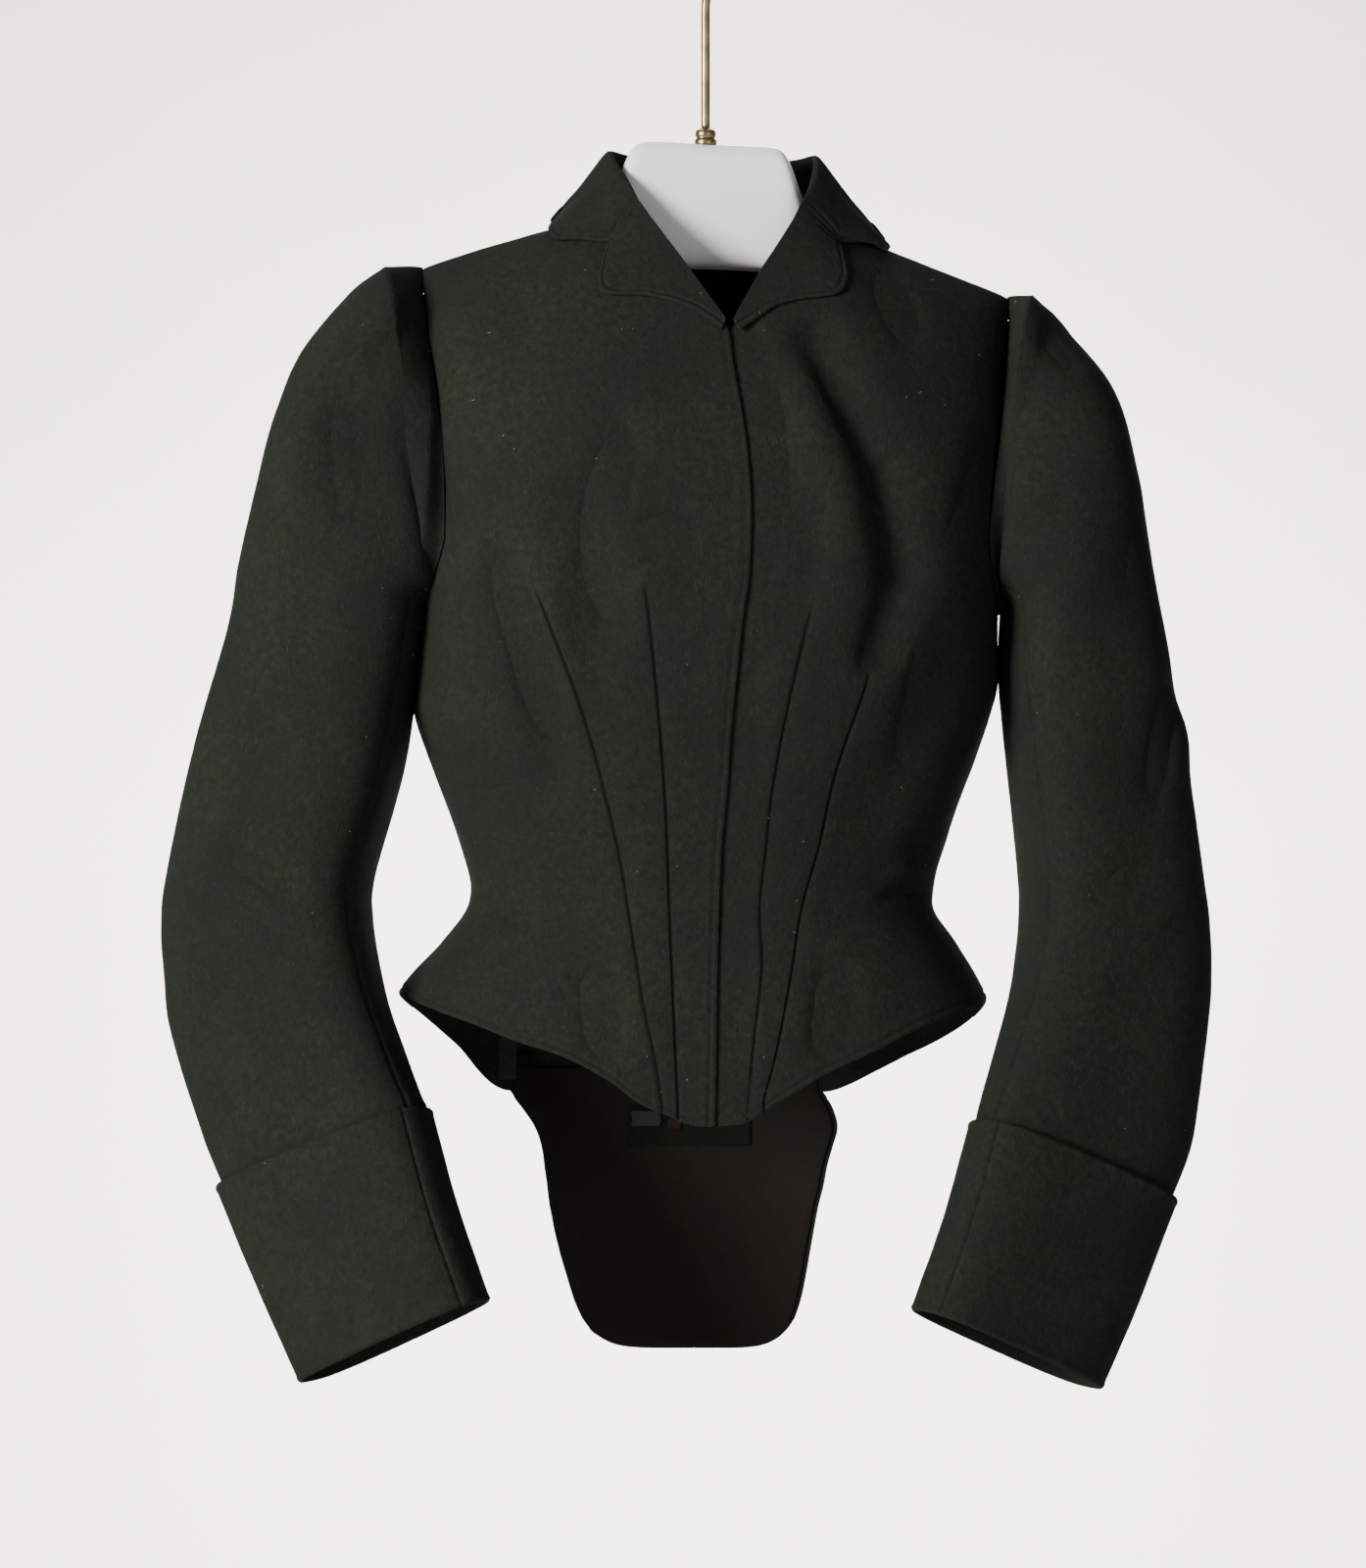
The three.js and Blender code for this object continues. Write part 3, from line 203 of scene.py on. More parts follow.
# The neck edges of both fronts by the share of the way from the chest to the shoulder.
NECK_EDGE = table(
    "share right left",
    """
    0 24.5 4.5
    0.15 23.7 3.7
    0.3 21 1
    0.42 17.5 -2
    0.53 14 -1
    0.61 11.8 13.6
    0.7 1.5 21
    0.8 -10.5 31
    0.89 -24 41
    0.96 -52 63
    1 -72 78
    """,
)
BACK_NECK = table(
    "across height",
    """
    -72 378.2
    -54 373
    -28 368
    5 366
    38 366
    60 369
    78 373
    """,
)
# The armhole edges, as a turn, by the share of the way up to the shoulder.
ARMHOLE = {
    "right": table(
        "share front back",
        """
        0 0.72 1.3
        0.25 0.725 1.29
        0.5 0.76 1.25
        0.75 0.84 1.17
        1 0.93 1.07
        """,
    ),
    "left": table(
        "share front back",
        """
        0 0.77 1.26
        0.3 0.79 1.24
        0.65 0.86 1.19
        1 0.95 1.05
        """,
    ),
}
BACK_SEAM = table(
    "height right left",
    """
    -111 -113 68
    -60 -82 62
    0 -45 42
    60 -64 60
    120 -101 98
    160 -126 126
    200 -144 149
    """,
)
TAIL_LINING = {"low": -261, "high": -100, "margin": 3.4, "corner": 20}
TAIL_BAND = {"low": -145, "high": -123, "right": -44, "left": 26}
SEAM_TAPE = {"low": -106, "high": -76, "right": -119, "left": -109.5}
TAPE_END = {"low": -133.5, "high": -125.5, "right": -42, "left": -26}
BAND_MEND = {"low": -135, "high": -130, "right": -21, "left": -14}
FOLDED_TAPE = {"low": -110, "high": -91, "right": -107.6, "left": -100.6}
PATCH_RIPPLE = 0.3
TAB_RIPPLE = 0.5
TAB_WAVE = 0.4
TAIL_EDGE = table(
    "height right left",
    """
    -246 -71.5 52.5
    -237 -75.5 55.5
    -226 -79 58
    -203 -85.5 62
    -181 -90 66
    -169 -91.5 69
    -158 -93 71
    -147 -94.5 74
    -135 -98.5 77
    -124 -105.5 74
    -118 -110 70.5
    -111 -113 68
    """,
)
DARTS = {
    "right": {
        "outer": table(
            "height across",
            """
            -111 -24
            -86 -28
            -58 -34
            -16 -41
            29 -48.5
            69.6 -58.5
            110 -70
            148 -84.5
            173 -95
            200 -104
            """,
        ),
        "inner": table(
            "height across",
            """
            -111 -15.3
            -86 -16.4
            -39 -18.5
            -4 -20
            45.6 -21.7
            93 -25
            141 -29.6
            176 -34
            200 -37
            """,
        ),
    },
    "left": {
        "inner": table(
            "height across",
            """
            -114 23
            -81 25.7
            -37 30.6
            -4 29.6
            26 32.8
            60 36.4
            110 45.7
            162 58
            200 66
            """,
        ),
        "outer": table(
            "height across",
            """
            -109 31.5
            -81 39
            -39 47
            -4 53
            28 62
            72 72
            107 84
            140 95
            200 112
            """,
        ),
    },
}
DART_TOP = {
    "right": {"outer": 173, "inner": 176},
    "left": {"inner": 162, "outer": 140},
}
# Large soft folds of the fronts, as in the solids.
FOLDS = table(
    "x0 z0 x1 z1 width depth",
    """
    62 306 94 234 13 6
    94 234 106 180 14 8
    106 180 96 138 13 5
    138 128 92 50 20 4
    -110 178 -80 74 18 3.5
    -72 222 -60 150 15 3
    """,
)
# Sleeves and cuffs: the outer and the inner side of each section, and half its depth.
SECTION = "run ox oy oz ix iy iz depth"
SLEEVE = {
    "right": table(
        SECTION,
        """
        1 -181 1 355 -163 -4 162 43.5
        2 -202.5 1 339 -163 -8 166 49
        3 -227.5 0 306 -162.5 -14 167 51.5
        4 -239 0 273 -162.5 -18 162.5 52
        5 -248.3 0 234 -162.5 -20 154 50
        6 -259 0 187 -163 -22 141 47
        7 -264.8 0 151 -163.8 -24 122 45
        8 -283.5 3 87 -168.3 -27 77 43
        9 -299.4 4 11 -186 -30 14 41
        10 -302 2 -20 -187 -33 -9 40
        11 -300 -3 -49 -182.5 -39 -34 38
        12 -296.5 -10 -77 -175 -47 -61 36
        13 -278 -26 -133 -158.5 -65 -101 30
        14 -268.5 -33 -155 -153.8 -73 -110 25.5
        15 -258 -37.5 -175 -150.5 -76 -124 22
        16 -248.5 -41.5 -192 -145 -82.5 -140 19
        """,
    ),
    "left": table(
        SECTION,
        """
        1 185 1 338.5 168 -4 162 42.5
        2 199.5 1 324 168 -8 164 47
        3 216 0 305 168 -14 163 49.5
        4 228 0 283 168 -18 159 50
        5 235.7 0 250 167.5 -20 153 49
        6 244 0 206 167 -22 141 47
        7 250.6 0 162 166.6 -24 123 45
        8 263.5 3 91 170 -27 84 43
        9 273.8 4 16 177 -30 19 41
        10 278 2 -17 177.6 -33 -5 40
        11 279 -3 -47 174.5 -39 -29 38
        12 277 -10 -75 169 -47 -55 36
        13 269 -26 -133 153 -65 -103 30
        14 260.5 -32 -158 149.3 -73 -114 25.5
        15 251 -37.5 -178 145.5 -76 -128 22
        16 242 -41.5 -196 139.5 -83 -146 19.5
        """,
    ),
}
CUFF = {
    "right": table(
        SECTION,
        """
        0 -269 -33 -162 -151.5 -75 -112 30
        1 -246 -45.5 -213 -137 -90 -163 28
        2 -221 -56 -266 -118.5 -104 -214 26
        """,
    ),
    "left": table(
        SECTION,
        """
        0 258.4 -33 -169.5 146 -75 -118.5 30
        1 237.8 -45.5 -219 131 -90 -169 28
        2 215 -56 -269.5 112.5 -104 -219 26
        """,
    ),
}
# The collar from its right front end round the back of the neck to its left front end.
COLLAR = table(
    "run edge_x edge_z crest_x crest_y crest_z seam_x seam_y seam_z",
    """
    0 -82.5 364 -37 -35.5 386 -38 -30.5 380.5
    1 -87 370.5 -45 -24 401.5 -54 -26 381
    2 -84.5 400 -54 -3 417.6 -70 -3 382
    3 -82 366 -47 32 421 -58 24 378
    4 -50 352 -27 50 420 -30 41 371.8
    5 5 345 5 56 418.5 5 45.5 369.5
    6 60 347 35 50 418 38 42 369.5
    7 94.5 357 55 32 418.5 66 22 374.5
    8 98.5 400 62 -3 415 76 -3 377
    9 102 361 58.8 -23 398 64 -26 378
    10 97.5 361 53.5 -35.5 385.6 53.5 -30.5 380
    """,
)
COLLAR_BEHIND = 2
COLLAR_EASE = 2.5
END_FALL = 0.14
CREST_ROLL = {"outside": 3.6, "outside_drop": 2.4, "inside": 1.6, "inside_drop": 3.4}
NOTCH = {"right": (-52.4, 362.7), "left": (73.6, 362.9)}
ROLL_DEPTH = (-69, -34)
LAPEL = {
    "right": table(
        "share roll_x roll_z edge_x edge_z",
        """
        0 11 317 8.5 311.5
        0.14 3.5 327.5 -6 322
        0.28 -4.5 339 -20 327.5
        0.43 -12.5 350.5 -38 331.2
        0.57 -20 361 -54.5 331.6
        0.71 -26 369.5 -58.5 339
        0.86 -31.2 377 -56 353
        1 -36.3 384.9 -52 362
        """,
    ),
    "left": table(
        "share roll_x roll_z edge_x edge_z",
        """
        0 15 316.5 18.5 311
        0.14 19.5 325.5 31 320
        0.28 25 335.5 40 325.5
        0.43 30 345 55 329.3
        0.57 36 354.5 72 332
        0.71 42.5 365 77.5 341
        0.86 48.2 374.8 75.8 354
        1 52.5 384.2 73.2 362.3
        """,
    ),
}
HANGER = table(
    "across top under depth squareness",
    """
    -144 353.5 346 5 2.2
    -140 355.6 340 8.5 2.2
    -120 361.4 336 12.5 2.2
    -88 370.6 334 14.5 2.3
    -66 374 339 14 2.4
    -58 377 343 13.5 2.5
    -52 391 346 14.5 2.9
    -48 404 348.2 16 3.6
    -44 414 350.4 16.5 4.2
    -39 420.5 352 17 5
    -33 422.8 353 17 5
    5 420.8 352.6 17 5
    38 419 350.8 17 5
    44 416 349.6 17 5
    48.5 408 348.4 16.5 4.2
    54.5 391 345.6 14.5 3.2
    60 376 341 13.5 2.6
    72 370.5 334 14 2.4
    94 363 329 14.5 2.3
    125 351.2 323 12.5 2.2
    146 343 326 8.5 2.2
    150 340 332 5 2.2
    """,
)
ROD_RADIUS = 2.5
HOOK_INNER_RADIUS = 20
FERRULE_HEIGHT = 9
HANGER_TOP = 421
HOOK_ARC = (-35, 189)
ROD_BEND = -62
ROD_REACH = 14
HOOK_LEAD = (-9, 0, -12)

# Soft creases, given one by one. Each has its path, as places across and above the waist, its
# rise, negative for a trough, and its reach to the left and to the right of a path that falls.
FRONT_CREASES = [
    ("46 316 60 294 71 278 82 258 91 239 97 221 102 204 104 186 102 169 97 151 86 128 74 104", -13, 6, 7),
    ("60 300 82 268 100 236 110 204 110 172 100 136 88 104", -4.0, 10, 16),
    ("30 316 44 290 58 262 70 236 76 210 78 184 72 156 60 130", 4.0, 16, 16),
    ("164 276 160 246 154 212 147 180 138 148 127 116 114 84 100 52", -14, 12, 26),
    ("112 44 122 20 128 4", -2.0, 10, 10),
    ("92 -3 104 3 113 4.5 126 -7", -3.4, 3.4, 3.6),
    ("96 11 112 15 128 5", 2.0, 6, 6),
    ("-38 276 -43 256 -48 238 -53 217 -55 199 -54 174 -50 150 -44 126", -6.0, 12, 9),
    ("-62 186 -46 189 -30 193 -14 200 8 210", -5.6, 9, 13),
    ("-46 168 -34 176 -20 181 -2 184", 2.2, 12, 12),
    ("-120 206 -111 182 -102 160 -95 138 -89 116 -84 94 -77 64", -8.0, 11, 8),
    ("-100 206 -92 172 -83 140 -74 108 -64 72", 3.0, 9, 10),
    ("-160 292 -157 246 -154 206 -150 170 -145 136 -136 98 -124 60", -13, 26, 9),
    ("-116 -15 -106 -10 -92 -17", -2.2, 6, 6),
    ("-62 -24 -57 -60 -54 -100", -4.4, 13, 11),
    ("-38 -30 -34 -64 -30 -100", 1.6, 12, 12),
    ("70 -26 67 -62 64 -98", -4.6, 9, 13),
    ("90 360 102 336 110 316 112 290", -4.0, 11, 10),
    ("-120 342 -106 318 -96 288", -1.8, 16, 14),
    ("40 318 36 270 32 220 32 180", -4.0, 14, 14),
    ("66 236 56 198 46 160 38 124", -2.4, 14, 13),
    ("10 150 16 120 20 80", 1.4, 12, 12),
]
BACK_CREASES = [
    ("-98 300 -84 270 -70 240", -1.8, 12, 10),
    ("100 296 86 266 74 236", -2.2, 12, 10),
    ("-130 260 -122 220 -112 180 -96 140", -1.6, 12, 10),
    ("132 262 126 220 114 176 98 136", -1.8, 12, 10),
    ("-16 22 -34 16 -60 4", -1.9, 5, 7),
    ("22 18 42 12 66 0", -1.8, 5, 7),
    ("-14 6 -34 0 -56 -10", 1.3, 5, 6),
    ("20 2 38 -4 58 -14", 1.2, 5, 6),
    ("-30 -130 -28 -180 -22 -236", 1.0, 14, 14),
    ("24 -130 20 -176 16 -226", -1.0, 14, 14),
    ("-66 -60 -72 -90 -76 -130", -1.0, 10, 10),
    ("-12 320 -2 312 14 312 24 320", -1.0, 6, 8),
]
SLEEVE_FRONT_CREASES = [
    ("-160 322 -170 312 -182 300 -188 290", -2.6, 6, 7),
    ("-168 320 -163 262 -159 226 -158 190 -161 158 -166 120 -174 84", 11.0, 15, 22),
    ("-160 338 -176 328 -196 316", 1.5, 6, 6),
    ("-166 298 -174 282 -178 262", 1.0, 6, 7),
    ("-204 300 -199 262 -197 220 -202 160", -2.6, 14, 12),
    ("-222 286 -223 240 -228 190", 1.8, 12, 12),
    ("-240 132 -228 96 -212 60", 1.8, 12, 12),
    ("-256 66 -240 44 -220 30", 1.2, 9, 9),
    ("-276 38 -246 14 -212 0", -2.8, 8, 9),
    ("-292 2 -262 -18 -230 -32", 1.4, 9, 9),
    ("-286 -34 -256 -46 -226 -52", -1.0, 9, 9),
    ("-214 -70 -204 -104 -196 -130", -0.9, 10, 10),
    ("178 318 190 308 200 296 206 286", -2.4, 6, 7),
    ("184 330 196 322 208 312", 1.3, 5, 5),
    ("266 140 257 104 250 70 247 38", -4.4, 8, 6),
    ("271 120 267 92 263 60", 2.4, 6, 6),
    ("242 230 238 186 236 146", -2.0, 12, 12),
    ("206 240 210 196 210 146", 1.8, 12, 12),
    ("250 28 226 8 198 -4", -2.8, 9, 8),
    ("268 2 244 -20 214 -36", 1.5, 9, 9),
    ("262 -40 236 -52 208 -58", -1.0, 9, 9),
    ("230 -78 222 -108 214 -134", -0.9, 10, 10),
]
SLEEVE_BACK_CREASES = [
    ("-176 336 -188 322 -196 306", -1.8, 8, 7),
    ("-226 66 -254 44 -284 24", 1.8, 8, 8),
    ("-224 38 -252 20 -290 -4", -2.6, 8, 8),
    ("-222 10 -250 -12 -286 -32", 1.7, 8, 8),
    ("-236 150 -250 112 -256 80", -1.2, 12, 12),
    ("184 324 194 312 200 300", -1.8, 8, 7),
    ("210 70 236 48 262 28", 1.8, 8, 8),
    ("206 42 234 22 266 2", -2.6, 8, 8),
    ("204 14 232 -8 262 -28", 1.7, 8, 8),
    ("226 160 236 120 240 84", -1.2, 12, 12),
]

# ---- Reading the tables ---------------------------------------------------------------------


def read(rows, key, at, wanted):
    """Smooth values of one column at places along another."""
    keys, values = rows[key], rows[wanted]
    last = len(keys) - 1
    at = np.clip(np.asarray(at, float), keys[0], keys[last])
    i = np.clip(np.searchsorted(keys, at) - 1, 0, last - 1)
    before = np.maximum(np.arange(last + 1) - 1, 0)
    after = np.minimum(np.arange(last + 1) + 1, last)
    slope = (values[after] - values[before]) / (keys[after] - keys[before])
    span = keys[i + 1] - keys[i]
    t = (at - keys[i]) / span
    return (
        (2 * t**3 - 3 * t**2 + 1) * values[i]
        + (t**3 - 2 * t**2 + t) * span * slope[i]
        + (3 * t**2 - 2 * t**3) * values[i + 1]
        + (t**3 - t**2) * span * slope[i + 1]
    )


def mix(a, b, t):
    return a + (b - a) * t


def ease(t):
    t = np.clip(t, 0, 1)
    return t * t * (3 - 2 * t)


def unit(vectors):
    return vectors / np.maximum(np.linalg.norm(vectors, axis=-1, keepdims=True), 1e-9)


def place(across, depth, height):
    """Points from their places across, back and above the waist."""
    across, depth, height = np.broadcast_arrays(across, depth, height)
    return np.stack([across, depth, height - WAIST_BELOW_HOOK], -1).astype(float)


# ---- The body's surface ---------------------------------------------------------------------


def ring(wanted, height):
    return read(TORSO, "height", height, wanted)


def shoulder_height(turn):
    across = ring("middle", SHOULDER_RING) + ring("half", SHOULDER_RING) * np.sin(turn * np.pi / 2)
    return read(SHOULDER, "across", across, "height")


def bare_body(turn, height):
    turn, height = np.broadcast_arrays(np.asarray(turn, float), np.asarray(height, float))
    sine = np.sin(turn * np.pi / 2)
    behind = np.abs(turn) > 1
    power = ring("squareness", height)
    reach = np.maximum(0, 1 - np.abs(sine) ** power) ** (1 / power)
    climb = np.clip((height - BODY_BASE) / (shoulder_height(turn) - BODY_BASE), 0, 1)
    rounding = np.where(behind, (1 - climb**4) ** 0.45, (1 - climb**2.6) ** 0.5)
    depth = np.where(behind, ring("back", height), -ring("front", height)) * reach * rounding
    return place(ring("middle", height) + ring("half", height) * sine, depth, height)


def line_gap(rows, i, across, height):
    """How far points are from one line of a table."""
    x0, h0, x1, h1 = (column[i] for column in list(rows.values())[:4])
    dx, dh = x1 - x0, h1 - h0
    near = np.clip(((across - x0) * dx + (height - h0) * dh) / (dx * dx + dh * dh), 0, 1)
    return np.hypot(across - x0 - dx * near, height - h0 - dh * near)


def body_point(turn, height):
    points = bare_body(turn, height)
    height = points[..., 2] + WAIST_BELOW_HOOK
    depth = np.zeros(points.shape[:-1])
    for i in range(len(FOLDS["width"])):
        gap = line_gap(FOLDS, i, points[..., 0], height)
        depth = np.maximum(depth, FOLDS["depth"][i] * np.exp(-((gap / FOLDS["width"][i]) ** 2)))
    depth = np.where(np.abs(np.broadcast_to(turn, depth.shape)) < 1, depth, 0)
    lean = np.stack([points[..., 0] / FOLD_LEAN[0], np.full(depth.shape, FOLD_LEAN[1]), 0 * depth], -1)
    return points - unit(lean) * depth[..., None]


def body_normal(turn, height):
    step_turn, step_height = 0.004, 0.4
    top = shoulder_height(turn)
    low = body_point(turn, np.minimum(height, top - step_height) - step_height)
    high = body_point(turn, np.minimum(height + step_height, top))
    aside = body_point(turn + step_turn, height) - body_point(turn - step_turn, height)
    normal = np.cross(aside, high - low)
    on_ridge = np.broadcast_to(height > top - 0.01, normal.shape[:-1])
    normal[..., 1] = np.where(on_ridge, 0, normal[..., 1])
    return unit(normal)


def turn_at(across, height, behind):
    """The turn at a distance across the body, on its front or behind it."""
    middle = ring("middle", height)
    turn = np.arcsin(np.clip((across - middle) / ring("half", height), -1, 1)) * 2 / np.pi
    if not behind:
        return turn
    return np.where(across < middle, -2 - turn, 2 - turn)


def move_turn(turn, height, distance):
    """A turn moved along the cloth by some millimetres."""
    step = 0.002
    length = np.linalg.norm(bare_body(turn + step, height) - bare_body(turn - step, height), axis=-1)
    return turn + distance * 2 * step / length


def hem_at(turn):
    return read(HEM, "turn", turn, "height")


def chest_at(turn, side):
    """The top of the lower body: level, but for the bottom of the armhole."""
    front, back = ARMHOLE[side]["front"][0], ARMHOLE[side]["back"][0]
    share = (np.abs(turn) - (front + back) / 2) / ((back - front) / 2)
    dip = np.maximum(0, 1 - share * share) ** ARMHOLE_CURVE
    return ARMHOLE_SHOULDER - (ARMHOLE_SHOULDER - ARMHOLE_BOTTOM) * dip


def seam_line(side, turn_of_height):
    """A seam of the lower body, as its turn by the share of the way up from the hem."""
    low = turn_of_height(-100.0)
    for _ in range(12):
        low = mix(low, turn_of_height(hem_at(low)), 0.6)
    high = turn_of_height(float(ARMHOLE_SHOULDER))
    ends = hem_at(low), chest_at(high, side)
    return lambda share: turn_of_height(mix(*ends, np.asarray(share, float)))


def steady(turn):
    return lambda share: np.full(np.shape(share), float(turn))


def columns_between(counts):
    """Places along a row of lines, closer together beside each line."""
    places = [0.0]
    for i, count in enumerate(counts):
        share = np.arange(1, count + 1) / count
        places.extend(i + 0.3 * share + 0.35 * (1 - np.cos(np.pi * share)))
    return np.array(places)


def between(lines, places):
    """Rows of values between lines, at places counted in lines."""
    i = np.minimum(places.astype(int), len(lines) - 2)
    t = (places - i)[:, None]
    return mix(lines[i], lines[i + 1], t).T


def lower_rows(side, lines, places, shares, inset):
    """Turns and heights from the hem to the chest, drawn in at both ends of each row."""
    first_and_last = np.array([0.0, 1.0])
    ends = between(np.array([line(first_and_last) for line in lines]), places)
    height = mix(hem_at(ends[0]) + EDGE_ROUND, chest_at(ends[1], side), shares[:, None])
    turns = np.array([line(shares) for line in lines])
    turns[0] = move_turn(turns[0], height[:, 0], inset[0])
    turns[-1] = move_turn(turns[-1], height[:, -1], -inset[1])
    return between(turns, places), height


# ---- Cloth ----------------------------------------------------------------------------------

EDGE_ROUND = 0.45
SEAM_INSET = EDGE_ROUND - 0.05
STITCH_INSET = 3.3
STITCH_SHARES = (0, 0.3, 0.7, 1)
STITCH_RISE = (-0.12, 0.1, 0.1, -0.12)
STITCH_SIDES = 5
LINT_SEED = 7
LINT_RADII = (0.03, 0.07, 0.09, 0.07, 0.03)
LINT_REACH = (0.3, 1.1)
LINT_CURL = 0.5
LINT_RISE = 0.12
LINT_SIDES = 4
HEM_HOOK = (4.7, -121.0)
HEM_HOOK_FOOT = 6
HEM_HOOK_SINK = 0.5
HEM_HOOK_BOW = 2.1
HEM_HOOK_SIDES = 10
WELD = 0.02
RIM_RINGS = 3
LEAST_CUT = 0.01
# Painted shade of the creases: it starts where the cloth sinks past the first value and is full the second
# value deeper, in millimetres.
PAINTED_SHADE_START, PAINTED_SHADE_DEPTH = -1.0, 6.5


def face_normals(points, faces):
    """Normals at each point, from the four-sided faces round it."""
    across = points[faces[:, 2]] - points[faces[:, 0]]
    along = points[faces[:, 3]] - points[faces[:, 1]]
    normals = np.zeros_like(points)
    for corner in range(4):
        np.add.at(normals, faces[:, corner], np.cross(across, along))
    return unit(normals)


STITCH_ROWS = []


def stitch_row(points, relief, distance, axis, kept=None):
    """Notes the line along a grid that lies one stitch inset from an edge."""
    normals = unit(np.cross(np.gradient(points, axis=1), np.gradient(points, axis=0)))
    surface = points + normals * np.broadcast_to(relief, distance.shape)[..., None]
    if axis == 1:
        surface, normals, distance = (v.swapaxes(0, 1) for v in (surface, normals, distance))
        kept = None if kept is None else kept.T
    if distance[0].mean() > distance[-1].mean():
        surface, normals, distance = surface[::-1], normals[::-1], distance[::-1]
        kept = None if kept is None else kept[::-1]
    after = np.maximum((distance >= STITCH_INSET).argmax(0), 1)
    columns = np.arange(distance.shape[1])
    low, high = distance[after - 1, columns], distance[after, columns]
    share = ((STITCH_INSET - low) / (high - low))[:, None]
    line = mix(surface[after - 1, columns], surface[after, columns], share)
    facing = unit(normals[after, columns])
    if kept is not None:
        line, facing = line[kept[after, columns]], facing[kept[after, columns]]
    STITCH_ROWS.append((line, facing))


class Cloth:
    """A piece of cloth: its right side, its wrong side and a rounded edge all round.

    Each grid of points has its rows and columns so that the columns' direction crossed with
    the rows' direction faces out. Grids that share a line of points are sewn there.
    """

    def __init__(self, stacked=False):
        self.points, self.relief, self.shade, self.faces = [], [], [], []
        self.count, self.area = 0, 0
        self.stacked, self.widths, self.lengths = stacked, [], []

    def add(self, points, relief, shade=0.0):
        rows, columns = points.shape[:2]
        # shade is painted shade along lines such as the darts, from 0 to 1.
        self.shade.append(np.broadcast_to(shade, (rows, columns)).reshape(-1))
        self.widths.append(np.linalg.norm(np.diff(points, axis=1), axis=-1).sum(1).max())
        self.lengths.append(np.linalg.norm(np.diff(points, axis=0), axis=-1).sum(0).max())
        index = self.count + np.arange(rows * columns).reshape(rows, columns)
        corners = index[:-1, :-1], index[:-1, 1:], index[1:, 1:], index[1:, :-1]
        self.faces.append(np.stack(corners, -1).reshape(-1, 4))
        self.points.append(points.reshape(-1, 3))
        self.relief.append(np.broadcast_to(relief, (rows, columns)).reshape(-1))
        self.count += rows * columns

    def mesh(self, name, thickness):
        points = np.concatenate(self.points)
        keys = np.round(points / WELD).astype(np.int64)
        _, first, number = np.unique(keys, axis=0, return_index=True, return_inverse=True)
        faces = number.reshape(-1)[np.concatenate(self.faces)]
        points, relief = points[first], np.concatenate(self.relief)[first]
        normals = face_normals(points, faces)
        outer = points + normals * relief[:, None]
        inner = points - normals * thickness
        for layer in (outer, inner):
            a, b, c, d = (layer[faces[:, k]] for k in range(4))
            self.area += np.linalg.norm(np.cross(c - a, d - b), axis=1).sum() / 4

        edges = np.stack([faces, np.roll(faces, -1, axis=1)], -1).reshape(-1, 2)
        size = len(points)
        codes = edges[:, 0] * size + edges[:, 1]
        free = edges[~np.isin(codes, edges[:, 1] * size + edges[:, 0])]
        rim = np.unique(free)
        place_in_rim = np.full(size, -1)
        place_in_rim[rim] = np.arange(len(rim))
        outward = np.zeros_like(points)
        for end in (0, 1):
            way = np.cross(unit(points[free[:, 1]] - points[free[:, 0]]), normals[free[:, end]])
            np.add.at(outward, free[:, end], way)
        outward = unit(outward)[rim]

        rings = [rim]
        layers = [outer, inner]
        start = 2 * size
        for k in range(1, RIM_RINGS + 1):
            angle = np.pi * k / (RIM_RINGS + 1)
            sunk = mix(outer[rim], inner[rim], (1 - np.cos(angle)) / 2)
            layers.append(sunk + outward * EDGE_ROUND * np.sin(angle))
            rings.append(start + np.arange(len(rim)))
            start += len(rim)
        rings.append(size + rim)
        sides = [faces, (faces + size)[:, ::-1]]
        a, b = place_in_rim[free[:, 0]], place_in_rim[free[:, 1]]
        for upper, lower in zip(rings, rings[1:]):
            sides.append(np.stack([upper[b], upper[a], lower[a], lower[b]], -1))
        mesh = plain_mesh(name, np.concatenate(layers), np.concatenate(sides))
        # Painted shade: a colour attribute from 0 to 1 that darkens the cloth's colour in the troughs of the
        # creases and along the darts.
        painted_crease_shade = np.zeros(start)
        painted_crease_shade[:size] = np.clip((PAINTED_SHADE_START - relief) / PAINTED_SHADE_DEPTH, 0, 1)
        painted_crease_shade[:size] = np.maximum(painted_crease_shade[:size], np.concatenate(self.shade)[first])
        layer = mesh.color_attributes.new(name="painted_crease_shade", type="FLOAT_COLOR", domain="POINT")
        layer.data.foreach_set("color", np.repeat(painted_crease_shade, 4).tolist())
        return mesh

    def cut(self):
        """The width and length of the flat cut, and its area once the mesh is made."""
        across, along = (max, sum) if self.stacked else (sum, max)
        width, length = across(self.widths) * MM, along(self.lengths) * MM
        return max(width, LEAST_CUT), max(length, LEAST_CUT), self.area * MM * MM


def sew(node, cloth, thickness, material, slot):
    """Shows a piece of cloth in place of its node, and works out its cut, which is not kept."""
    ending = "_wool" if slot == "wool" else "_cloth"
    piece = put(node + ending, cloth.mesh(node, thickness), material, [node])
    width, length, area = cloth.cut()
    return piece


def plain_mesh(name, points, faces):
    mesh = bpy.data.meshes.new(name)
    mesh.from_pydata((np.asarray(points) * MM).tolist(), [], [list(map(int, f)) for f in faces])
    mesh.polygons.foreach_set("use_smooth", [True] * len(mesh.polygons))
    mesh.update()
    return mesh


def put(name, mesh, material, replaces=()):
    """Shows a mesh in the scene, on the one body that there is."""
    piece = bpy.data.objects.new(name, mesh)
    bpy.context.scene.collection.objects.link(piece)
    mesh.materials.append(material)
    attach(piece, "root")
    if replaces:
        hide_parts(*replaces)
    return piece


